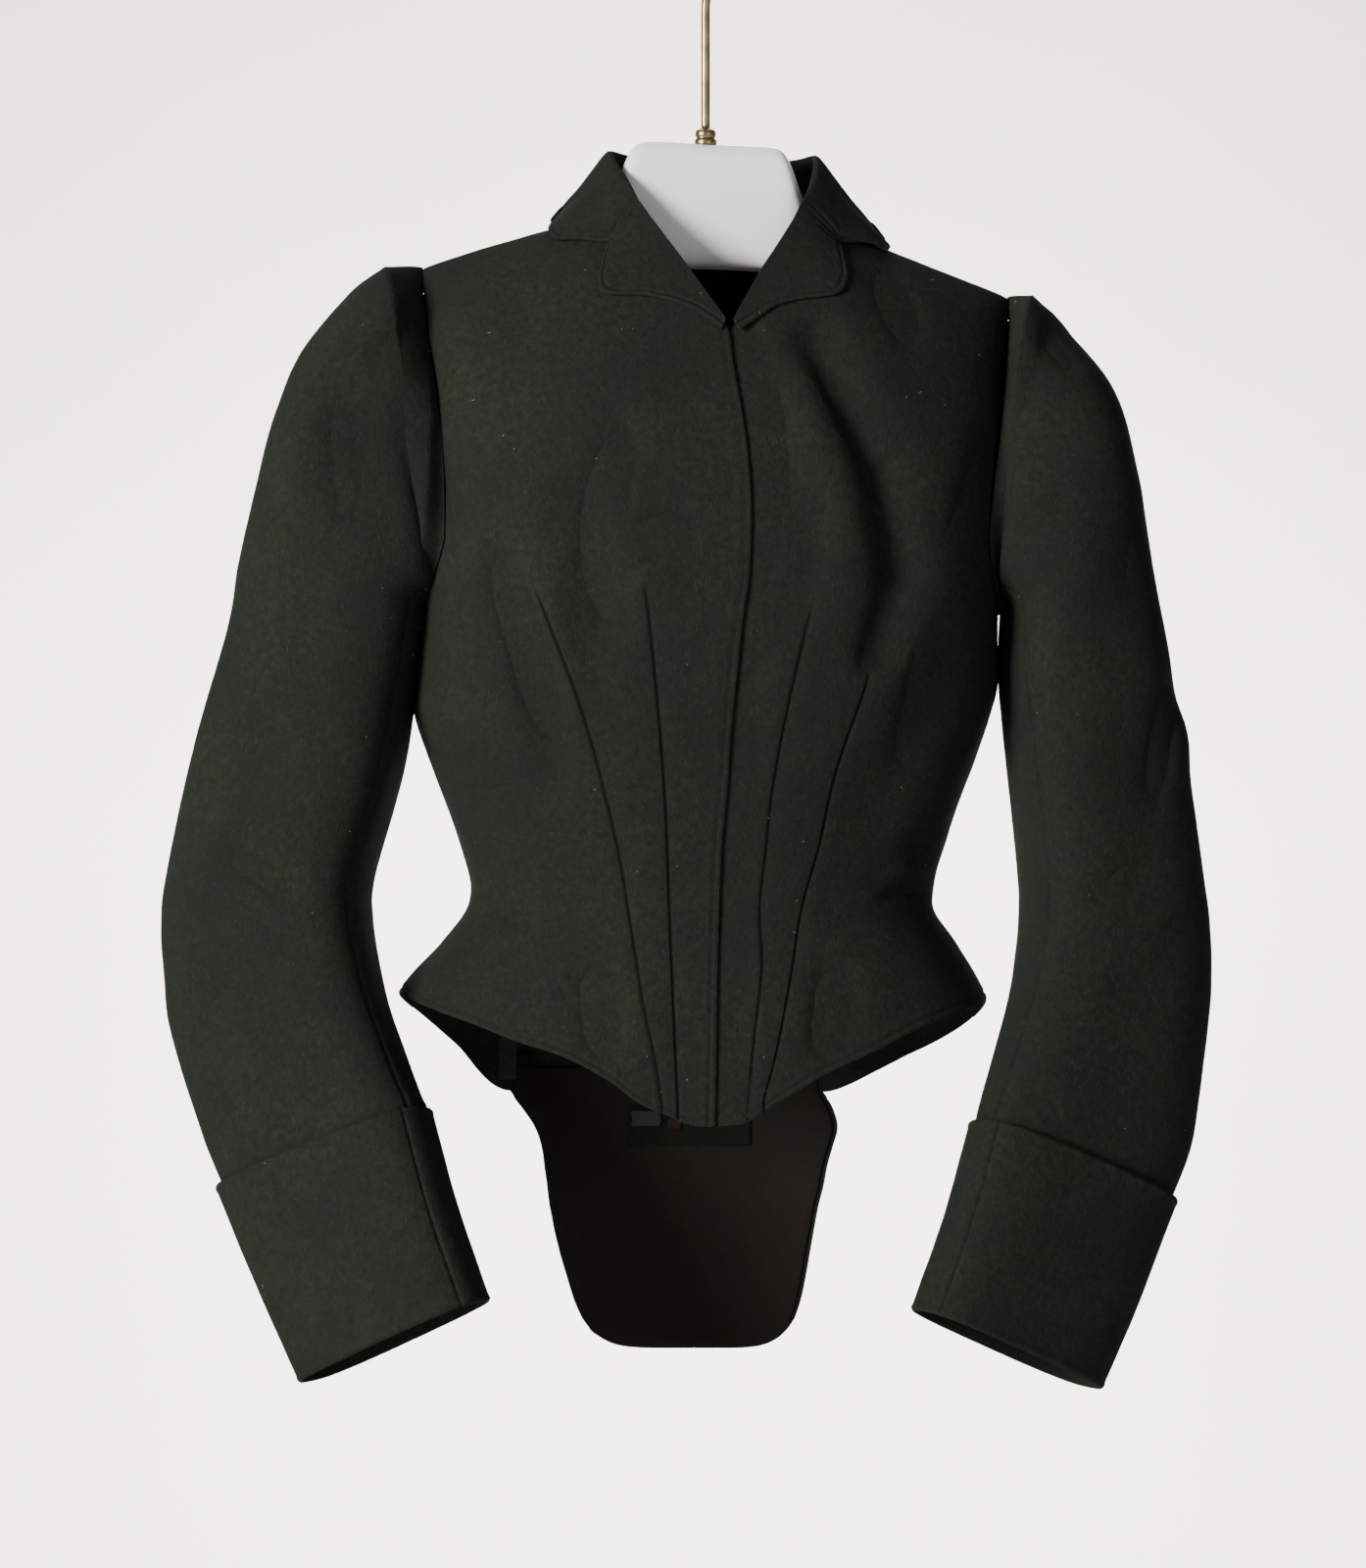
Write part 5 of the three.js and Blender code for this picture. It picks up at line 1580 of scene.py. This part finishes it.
def make_hem_hook(material):
    """The little hook that looks out under the front's point."""
    across, foot = HEM_HOOK[0], HEM_HOOK[1] + HEM_HOOK_FOOT
    turn = turn_at(across, foot, False)
    base = body_point(turn, foot) - body_normal(turn, foot) * (WOOL + HEM_HOOK_SINK)
    angle = np.radians(np.linspace(-20, 200, 22))
    half = HEM_HOOK_BOW
    bow = np.stack([half * np.cos(angle), 0 * angle - 0.1, -5.2 - half * np.sin(angle)], -1)
    down = np.array([[half, 0, 1.0], [half, 0, -2.6]])
    up = np.array([[-half, 0, -2.6], [-half, 0, 1.0]])
    line = base + np.concatenate([down, bow, up])
    radii = [np.full(len(line), sizes().hem_hook_wire / MM)]
    return make_tubes("hem_hook", [line], radii, HEM_HOOK_SIDES, material)


# ---- Hanger ---------------------------------------------------------------------------------


def loop_faces(rows, columns):
    """Four-sided faces of a tube whose rows are closed loops."""
    index = np.arange(rows * columns).reshape(rows, columns)
    beside = np.roll(index, -1, axis=1)
    corners = index[:-1], beside[:-1], beside[1:], index[1:]
    return np.stack(corners, -1).reshape(-1, 4)


def make_hanger_body(material):
    round_count, along_count = 56, 240
    keys = HANGER["across"]
    share = np.linspace(0, len(keys) - 1, along_count)
    across = np.interp(share, np.arange(len(keys)), keys)
    at = {name: read(HANGER, "across", across, name) for name in HANGER}
    angle = np.linspace(0, FULL_TURN, round_count, endpoint=False)[None]
    power = 2 / at["squareness"][:, None]
    deep = at["depth"][:, None] * np.sign(np.cos(angle)) * np.abs(np.cos(angle)) ** power
    middle = (at["top"] + at["under"])[:, None] / 2
    tall = (at["top"] - at["under"])[:, None] / 2
    high = middle + tall * np.sign(np.sin(angle)) * np.abs(np.sin(angle)) ** power
    points = place(across[:, None], deep, high).reshape(-1, 3)
    faces = list(loop_faces(along_count, round_count))
    faces += [list(range(round_count))[::-1]]
    faces += [[(along_count - 1) * round_count + k for k in range(round_count)]]
    mesh = plain_mesh("hanger_body", points, faces)
    return put("hanger_body_moulded", mesh, material, ["hanger_body"])


def make_ferrule(material):
    profile = [
        (0, 0), (6.0, 0), (6.2, 0.2), (6.2, 3.0), (6.0, 3.3), (5.2, 3.8), (5.2, 4.6),
        (5.7, 5.1), (5.8, 5.4), (5.8, 7.6), (5.6, 8.0), (4.6, FERRULE_HEIGHT), (0, FERRULE_HEIGHT),
    ]
    count = 48
    angle = np.linspace(0, FULL_TURN, count, endpoint=False)
    base = HANGER_TOP + LAYER_GAP
    rows = [place(r * np.cos(angle), r * np.sin(angle), base + z) for r, z in profile]
    points = np.concatenate(rows)
    mesh = plain_mesh("hanger_ferrule", points, loop_faces(len(profile), count))
    return put("hanger_ferrule_turned", mesh, material, ["hanger_ferrule"])


def hook_line():
    """Points along the middle of the rod and hook."""
    radius = HOOK_INNER_RADIUS + ROD_RADIUS
    angle = np.radians(np.linspace(*HOOK_ARC, 120))
    arc = np.stack([radius * np.cos(angle), 0 * angle, radius * np.sin(angle) - HOOK_INNER_RADIUS], -1)
    foot = HANGER_TOP + FERRULE_HEIGHT + LAYER_GAP + SEAM_GAP - WAIST_BELOW_HOOK
    rod = np.stack([np.zeros(30), np.zeros(30), np.linspace(foot, ROD_BEND, 30)], -1)
    t = np.linspace(0, 1, 30)[:, None]
    a, b = np.array([0, 0, ROD_BEND]), np.array([0, 0, ROD_BEND + ROD_REACH])
    c, d = arc[0] + np.array(HOOK_LEAD), arc[0]
    swing = a * (1 - t) ** 3 + 3 * b * t * (1 - t) ** 2 + 3 * c * t**2 * (1 - t) + d * t**3
    return np.concatenate([rod[:-1], swing[:-1], arc])


def make_hook(material):
    line = hook_line()
    way = unit(np.gradient(line, axis=0))
    side = np.array([0, 1.0, 0])
    up = np.cross(way, side)
    count = 24
    angle = np.linspace(0, FULL_TURN, count, endpoint=False)
    ends = np.ones(len(line))
    ends[-4:] = [0.97, 0.88, 0.7, 0.02]
    around = np.cos(angle)[None, :, None] * side + np.sin(angle)[None, :, None] * up[:, None]
    points = line[:, None] + around * (ROD_RADIUS * ends)[:, None, None]
    faces = list(loop_faces(len(line), count)) + [list(range(count))]
    mesh = plain_mesh("hanger_hook", points.reshape(-1, 3), faces)
    return put("hanger_hook_wire", mesh, material, ["hanger_hook"])


# ---- Materials ------------------------------------------------------------------------------


class Nodes:
    """Adds and joins the nodes of one material."""

    def __init__(self, name):
        self.material = bpy.data.materials.new(name)
        self.material.use_nodes = True
        self.tree = self.material.node_tree
        self.shader = self.tree.nodes["Principled BSDF"]

    def add(self, kind, inputs=None, **settings):
        node = self.tree.nodes.new(kind)
        for name, value in settings.items():
            setattr(node, name, value)
        for name, value in (inputs or {}).items():
            if isinstance(value, bpy.types.NodeSocket):
                self.tree.links.new(value, node.inputs[name])
            else:
                node.inputs[name].default_value = value
        return node

    def join(self, output, name):
        self.tree.links.new(output, self.shader.inputs[name])

    def set(self, **values):
        for name, value in values.items():
            self.shader.inputs[name.replace("_", " ")].default_value = value


def cloth_material(name, deep, light, fuzz, fibre_scale, bump, fuzz_share):
    """Felted or woven cloth: mottled colour, fibres, a soft surface and painted shade in its creases."""
    nodes = Nodes(name)
    where = nodes.add("ShaderNodeTexCoord").outputs["Object"]

    def noise(scale, detail, stretch=None, roughness=0.6):
        source = where
        if stretch:
            mapping = nodes.add("ShaderNodeMapping", {"Vector": where, "Rotation": stretch[0]})
            mapping.inputs["Scale"].default_value = stretch[1]
            source = mapping.outputs["Vector"]
        return nodes.add(
            "ShaderNodeTexNoise",
            {"Vector": source, "Scale": scale, "Detail": detail, "Roughness": roughness},
        ).outputs["Fac"]

    def ramp(value, low, high):
        return nodes.add(
            "ShaderNodeMapRange", {"Value": value, "From Min": low, "From Max": high}
        ).outputs["Result"]

    def blend(share, first, second):
        mixer = nodes.add("ShaderNodeMix", data_type="RGBA")
        sockets = mixer.inputs[0], mixer.inputs[6], mixer.inputs[7]
        for socket, value in zip(sockets, (share, first, second)):
            if isinstance(value, bpy.types.NodeSocket):
                nodes.tree.links.new(value, socket)
            else:
                socket.default_value = value
        return mixer.outputs[2]

    patches = ramp(noise(14, 3), 0.35, 0.68)
    mottle = ramp(noise(260, 5, roughness=0.7), 0.36, 0.66)
    fibres_a = noise(fibre_scale, 3, ((0.3, 0.5, 0.6), (1, 1, 0.22)))
    fibres_b = noise(fibre_scale, 3, ((-0.5, 0.2, -0.7), (1, 1, 0.25)))
    fibres = nodes.add("ShaderNodeMath", {0: fibres_a, 1: fibres_b}, operation="MAXIMUM").outputs[0]
    strands = ramp(fibres, 0.6, 0.78)
    drift = ramp(noise(48, 4), 0.4, 0.6)
    cool = (deep[0] * 0.9, deep[1], deep[2] * 1.12, 1)
    tone = nodes.add("ShaderNodeMath", {0: patches, 1: 0.45, 2: 0.2}, operation="MULTIPLY_ADD").outputs[0]
    tone = nodes.add("ShaderNodeMath", {0: tone, 1: mottle}, operation="MULTIPLY").outputs[0]
    base = blend(tone, blend(drift, cool, (*deep, 1)), (*light, 1))
    share = nodes.add("ShaderNodeMath", {0: strands, 1: fuzz_share}, operation="MULTIPLY").outputs[0]
    fibred_colour = blend(share, base, (*fuzz, 1))
    # Painted shade: the base colour darkens to 0.14 of the deepest dye where the mesh's colour attribute
    # marks crease troughs and darts.
    painted_shade_mask = nodes.add("ShaderNodeVertexColor", layer_name="painted_crease_shade").outputs["Color"]
    painted_shade_colour = tuple(channel * 0.14 for channel in deep)
    nodes.join(blend(ramp(painted_shade_mask, 0, 1.1), fibred_colour, (*painted_shade_colour, 1)), "Base Color")
    rough = nodes.add(
        "ShaderNodeMapRange", {"Value": mottle, "To Min": 0.82, "To Max": 1.0}
    ).outputs["Result"]
    nodes.join(rough, "Roughness")
    coarse = nodes.add(
        "ShaderNodeBump", {"Height": mottle, "Strength": bump, "Distance": 0.0006}
    ).outputs["Normal"]
    fine = nodes.add(
        "ShaderNodeBump", {"Height": fibres, "Strength": bump, "Distance": 0.0005, "Normal": coarse}
    ).outputs["Normal"]
    nodes.join(fine, "Normal")
    nodes.set(Specular_IOR_Level=0.04, Sheen_Weight=0.09, Sheen_Roughness=0.5)
    nodes.shader.inputs["Sheen Tint"].default_value = (*fuzz, 1)
    return nodes.material


def clouded(nodes, where, scale, dark, low, high, colour):
    """Joins a colour with slow darker clouds, and gives the clouds back."""
    noise = {"Vector": where, "Scale": scale, "Detail": 4}
    cloud = nodes.add("ShaderNodeTexNoise", noise).outputs["Fac"]
    tint = nodes.add("ShaderNodeValToRGB", {"Fac": cloud})
    first, last = tint.color_ramp.elements
    first.position, last.position = low, high
    first.color = (*(channel * dark for channel in colour), 1)
    last.color = (*colour, 1)
    nodes.join(tint.outputs["Color"], "Base Color")
    return cloud


def worn_surface(nodes, wear, low, high, grain, strength, depth):
    """Joins a roughness between two values and a fine relief."""
    rough = nodes.add("ShaderNodeMapRange", {"Value": wear, "To Min": low, "To Max": high})
    nodes.join(rough.outputs["Result"], "Roughness")
    bump = nodes.add("ShaderNodeBump", {"Height": grain, "Strength": strength, "Distance": depth})
    nodes.join(bump.outputs["Normal"], "Normal")


def satin_material(name, colour):
    """Moulded white plastic with a faint bloom and soft wear."""
    nodes = Nodes(name)
    where = nodes.add("ShaderNodeTexCoord").outputs["Object"]
    cloud = clouded(nodes, where, 22, 0.93, 0.35, 0.7, colour)
    grain = nodes.add("ShaderNodeTexNoise", {"Vector": where, "Scale": 700, "Detail": 2}).outputs["Fac"]
    worn_surface(nodes, cloud, 0.28, 0.42, grain, 0.08, 0.0004)
    nodes.set(IOR=1.47)
    return nodes.material


def brass_material(name, colour):
    """Dull plated wire with fine scratches."""
    nodes = Nodes(name)
    where = nodes.add("ShaderNodeTexCoord").outputs["Object"]
    mapping = nodes.add("ShaderNodeMapping", {"Vector": where})
    mapping.inputs["Scale"].default_value = (1, 1, 0.08)
    scratches = {"Vector": mapping.outputs["Vector"], "Scale": 900, "Detail": 3}
    scratch = nodes.add("ShaderNodeTexNoise", scratches).outputs["Fac"]
    clouded(nodes, where, 90, 0.6, 0.4, 0.65, colour)
    worn_surface(nodes, scratch, 0.22, 0.45, scratch, 0.1, 0.0002)
    nodes.set(Metallic=1.0)
    return nodes.material


def plain_cloth(name, dye, light, fuzz, fibre_scale, bump):
    """Cloth of one dye, paler where it is thin and in its fibres."""
    paler = [[channel * share for channel in dye] for share in (light, fuzz)]
    return cloth_material(name, dye, *paler, fibre_scale, bump, 0.3)


# ---- Sizes and colours ----------------------------------------------------------------------


def colour(name, description, default):
    return bpy.props.FloatVectorProperty(
        name=name, description=description, default=default, subtype="COLOR", size=3, min=0, max=1
    )


def length(name, description, default):
    return bpy.props.FloatProperty(
        name=name, description=description, default=default, unit="LENGTH", min=0.00001, precision=5
    )


class HabitSizes(bpy.types.PropertyGroup):
    stitch_pitch: length("Stitch pitch", "From the start of one stitch to the next", 0.0023)
    stitch_length: length("Stitch length", "How much of each stitch shows", 0.0015)
    thread_radius: length("Thread radius", "Half the thickness of the sewing silk", 0.00013)
    hem_hook_wire: length("Hem hook wire", "Half the thickness of the hem hook's wire", 0.00042)
    lint_density: bpy.props.FloatProperty(
        name="Lint density", description="Fibres on a square metre of wool", default=240, min=0
    )


class HabitColours(bpy.types.PropertyGroup):
    wool_deep: colour("Wool, deep", "The darkest dye of the wool", (0.0098, 0.0118, 0.0092))
    wool_light: colour("Wool, light", "The wool where its dye is thin", (0.0235, 0.0255, 0.0168))
    wool_fuzz: colour("Wool fuzz", "The fibres that stand on the wool", (0.040, 0.043, 0.034))
    lining: colour("Lining", "The brown-black cotton inside the tail", (0.0118, 0.0102, 0.0078))
    band: colour("Band", "The waistband on the lining", (0.0072, 0.0074, 0.0060))
    thread: colour("Thread", "The silk that sews the edges", (0.007, 0.008, 0.0065))
    lint: colour("Lint", "Pale fibres caught on the wool", (0.34, 0.34, 0.31))
    mend: colour("Mend", "The brown mend on the band", (0.020, 0.011, 0.007))
    tape: colour("Tape", "The hanging loop", (0.022, 0.022, 0.019))
    hanger: colour("Hanger", "The moulded hanger", (0.93, 0.925, 0.915))
    brass: colour("Brass", "The rod, hook and ferrule", (0.50, 0.38, 0.20))


def sizes():
    return bpy.context.scene.habit_sizes


def colours():
    return bpy.context.scene.habit_colours


def wool():
    """The one wool of the jacket, made when it is first asked for."""
    found = bpy.data.materials.get("felted_wool")
    shades = colours()
    return found or cloth_material(
        "felted_wool", shades.wool_deep, shades.wool_light, shades.wool_fuzz, 1300, 0.5, 0.55
    )


# ---- Operators ------------------------------------------------------------------------------


class HABIT_OT_fronts(bpy.types.Operator):
    """Sew both fronts, with their darts, lap and hem"""

    bl_idname = "habit.sew_fronts"
    bl_label = "Fronts"

    def execute(self, context):
        for side in SIGN:
            make_front(side, wool())
        return {"FINISHED"}


class HABIT_OT_backs(bpy.types.Operator):
    """Sew the backs with their tail, and the side backs"""

    bl_idname = "habit.sew_backs"
    bl_label = "Backs"

    def execute(self, context):
        for side in SIGN:
            make_back(side, wool())
            make_side_back(side, wool())
        return {"FINISHED"}


class HABIT_OT_sleeves(bpy.types.Operator):
    """Sew the two-piece sleeves"""

    bl_idname = "habit.sew_sleeves"
    bl_label = "Sleeves"

    def execute(self, context):
        for side in SIGN:
            make_sleeve(side, wool())
        return {"FINISHED"}


class HABIT_OT_cuffs(bpy.types.Operator):
    """Sew the deep cuffs"""

    bl_idname = "habit.sew_cuffs"
    bl_label = "Cuffs"

    def execute(self, context):
        for side in SIGN:
            make_cuff(side, wool())
        return {"FINISHED"}


class HABIT_OT_collar(bpy.types.Operator):
    """Sew the collar and its lapels"""

    bl_idname = "habit.sew_collar"
    bl_label = "Collar"

    def execute(self, context):
        make_collar(wool())
        for side in SIGN:
            make_lapel(side, wool())
        return {"FINISHED"}


class HABIT_OT_linings(bpy.types.Operator):
    """Lay in the tail's lining, the waistband and the tape"""

    bl_idname = "habit.sew_linings"
    bl_label = "Linings"

    def execute(self, context):
        shades = colours()
        lining = plain_cloth("cotton_lining", shades.lining, 1.5, 2.2, 2600, 0.2)
        band = plain_cloth("grosgrain_band", shades.band, 1.4, 2, 2200, 0.3)
        tape = plain_cloth("cotton_tape", shades.tape, 1.3, 1.6, 2200, 0.3)
        make_linings(lining, band, tape)
        return {"FINISHED"}


class HABIT_OT_details(bpy.types.Operator):
    """Sew the edges, the tabs and the hem's hook, and leave some lint"""

    bl_idname = "habit.add_details"
    bl_label = "Sewing and lint"

    def execute(self, context):
        shades = colours()
        thread = plain_cloth("silk_thread", shades.thread, 1.5, 2, 3000, 0.2)
        lint = plain_cloth("pale_lint", shades.lint, 1.1, 1.2, 3000, 0.1)
        make_stitches(thread)
        make_lint(lint)
        make_hem_hook(brass_material("hook_brass", shades.brass))
        on_lining = -WOOL - LAYER_GAP
        on_band = on_lining - 2 * (LINING + LAYER_GAP)
        mend = plain_cloth("brown_mend", shades.mend, 1.3, 1.6, 2200, 0.3)
        tape, band = (bpy.data.materials[name] for name in ("cotton_tape", "grosgrain_band"))
        make_tab("tape_end", tape, TAPE_END, on_band)
        make_tab("band_mend", mend, BAND_MEND, on_band)
        make_tab("folded_tape", band, FOLDED_TAPE, on_lining)
        return {"FINISHED"}


class HABIT_OT_hanger(bpy.types.Operator):
    """Mould the hanger and bend its brass hook"""

    bl_idname = "habit.make_hanger"
    bl_label = "Hanger"

    def execute(self, context):
        shades = colours()
        brass = brass_material("plated_brass", shades.brass)
        make_hanger_body(satin_material("white_moulding", shades.hanger))
        make_ferrule(brass)
        make_hook(brass)
        return {"FINISHED"}


class HABIT_OT_stage(bpy.types.Operator):
    """Set the floor and backdrop, the lights and the camera"""

    bl_idname = "habit.set_stage"
    bl_label = "Stage"

    def execute(self, context):
        make_backdrop()
        make_lights()
        make_camera()
        return {"FINISHED"}


BACKDROP_HALF = 3600
BACKDROP_FRONT = -3600
BACKDROP_MIDDLE = -400
BACKDROP_BEND = 2500
BACKDROP_RADIUS = 900
BACKDROP_TOP = 2600
FLOOR = -1450
CAMERA_PLACE = (-0.01265, -2.6, -0.49675)
FRAME_HEIGHT = 0.88
SENSOR = 36


def make_camera():
    camera = bpy.data.objects.new("camera", bpy.data.cameras.new("camera"))
    camera.location = CAMERA_PLACE
    camera.rotation_euler = (math.pi / 2, 0, 0)
    camera.data.sensor_fit = "VERTICAL"
    camera.data.sensor_height = SENSOR
    camera.data.lens = SENSOR * -CAMERA_PLACE[1] / FRAME_HEIGHT
    bpy.context.scene.collection.objects.link(camera)
    bpy.context.scene.camera = camera


def area_light(name, where, size, power, tint, aim=(0, 0, -0.5)):
    light = bpy.data.lights.new(name, "AREA")
    light.shape, light.size, light.energy, light.color = "DISK", size, power, tint
    lamp = bpy.data.objects.new(name, light)
    lamp.location = where
    lamp.rotation_euler = (Vector(aim) - Vector(where)).to_track_quat("-Z", "Y").to_euler()
    bpy.context.scene.collection.objects.link(lamp)


def make_lights():
    area_light("window_light", (-2.35, -2.1, 0.1), 1.2, 218, (1.0, 0.985, 0.95))
    area_light("room_light", (1.6, -2.6, -0.4), 2.2, 17, (0.98, 0.99, 1.0))
    area_light("backdrop_light", (0, 1.7, -1.3), 2.4, 420, (1, 0.985, 0.97), aim=(0, 3.4, -1.1))
    area_light("ceiling_light", (0, 1.6, 2.4), 2.4, 110, (1, 0.97, 0.86), aim=(0, 3.4, 0.3))
    world = bpy.data.worlds.new("studio")
    world.use_nodes = True
    world.node_tree.nodes["Background"].inputs["Color"].default_value = (0.95, 0.97, 1, 1)
    world.node_tree.nodes["Background"].inputs["Strength"].default_value = 0.2
    bpy.context.scene.world = world


def make_backdrop():
    """A floor that curves up into a wall behind."""
    profile = [(BACKDROP_FRONT, FLOOR), (BACKDROP_MIDDLE, FLOOR)]
    for angle in np.radians(np.linspace(0, 90, 24)):
        back, rise = BACKDROP_RADIUS * math.sin(angle), BACKDROP_RADIUS * (1 - math.cos(angle))
        profile.append((BACKDROP_BEND + back, FLOOR + rise))
    profile.append((BACKDROP_BEND + BACKDROP_RADIUS, BACKDROP_TOP))
    points, faces = [], []
    for y, z in profile:
        points += [(-BACKDROP_HALF, y, z), (BACKDROP_HALF, y, z)]
    for i in range(len(profile) - 1):
        faces.append([2 * i, 2 * i + 1, 2 * i + 3, 2 * i + 2])
    nodes = Nodes("studio_paper")
    where = nodes.add("ShaderNodeTexCoord").outputs["Object"]
    cloud = nodes.add("ShaderNodeTexNoise", {"Vector": where, "Scale": 3, "Detail": 2}).outputs["Fac"]
    tint = nodes.add("ShaderNodeValToRGB", {"Fac": cloud})
    tint.color_ramp.elements[0].color = (0.66, 0.645, 0.62, 1)
    tint.color_ramp.elements[1].color = (0.70, 0.685, 0.66, 1)
    nodes.join(tint.outputs["Color"], "Base Color")
    nodes.set(Roughness=0.9, Specular_IOR_Level=0.2)
    mesh = plain_mesh("backdrop", points, faces)
    backdrop = bpy.data.objects.new("backdrop", mesh)
    mesh.materials.append(nodes.material)
    bpy.context.scene.collection.objects.link(backdrop)


class HABIT_PT_panel(bpy.types.Panel):
    """The steps of the jacket, in order"""

    bl_idname = "HABIT_PT_panel"
    bl_label = "Riding habit jacket"
    bl_space_type = "VIEW_3D"
    bl_region_type = "UI"
    bl_category = "Habit"

    def draw(self, context):
        column = self.layout.column()
        for group in (sizes(), colours()):
            for name in type(group).__annotations__:
                column.prop(group, name)
        for operator in OPERATORS:
            column.operator(operator.bl_idname)


OPERATORS = (
    HABIT_OT_stage,
    HABIT_OT_fronts,
    HABIT_OT_backs,
    HABIT_OT_sleeves,
    HABIT_OT_cuffs,
    HABIT_OT_collar,
    HABIT_OT_linings,
    HABIT_OT_details,
    HABIT_OT_hanger,
)
CLASSES = (HabitSizes, HabitColours, *OPERATORS, HABIT_PT_panel)


def register():
    for kind in CLASSES:
        bpy.utils.register_class(kind)
    bpy.types.Scene.habit_sizes = bpy.props.PointerProperty(type=HabitSizes)
    bpy.types.Scene.habit_colours = bpy.props.PointerProperty(type=HabitColours)


def unregister():
    del bpy.types.Scene.habit_colours
    del bpy.types.Scene.habit_sizes
    for kind in reversed(CLASSES):
        bpy.utils.unregister_class(kind)


def main():
    register()
    for operator in OPERATORS:
        group, name = operator.bl_idname.split(".")
        getattr(getattr(bpy.ops, group), name)()
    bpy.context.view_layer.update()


if __name__ == "__main__":
    main()
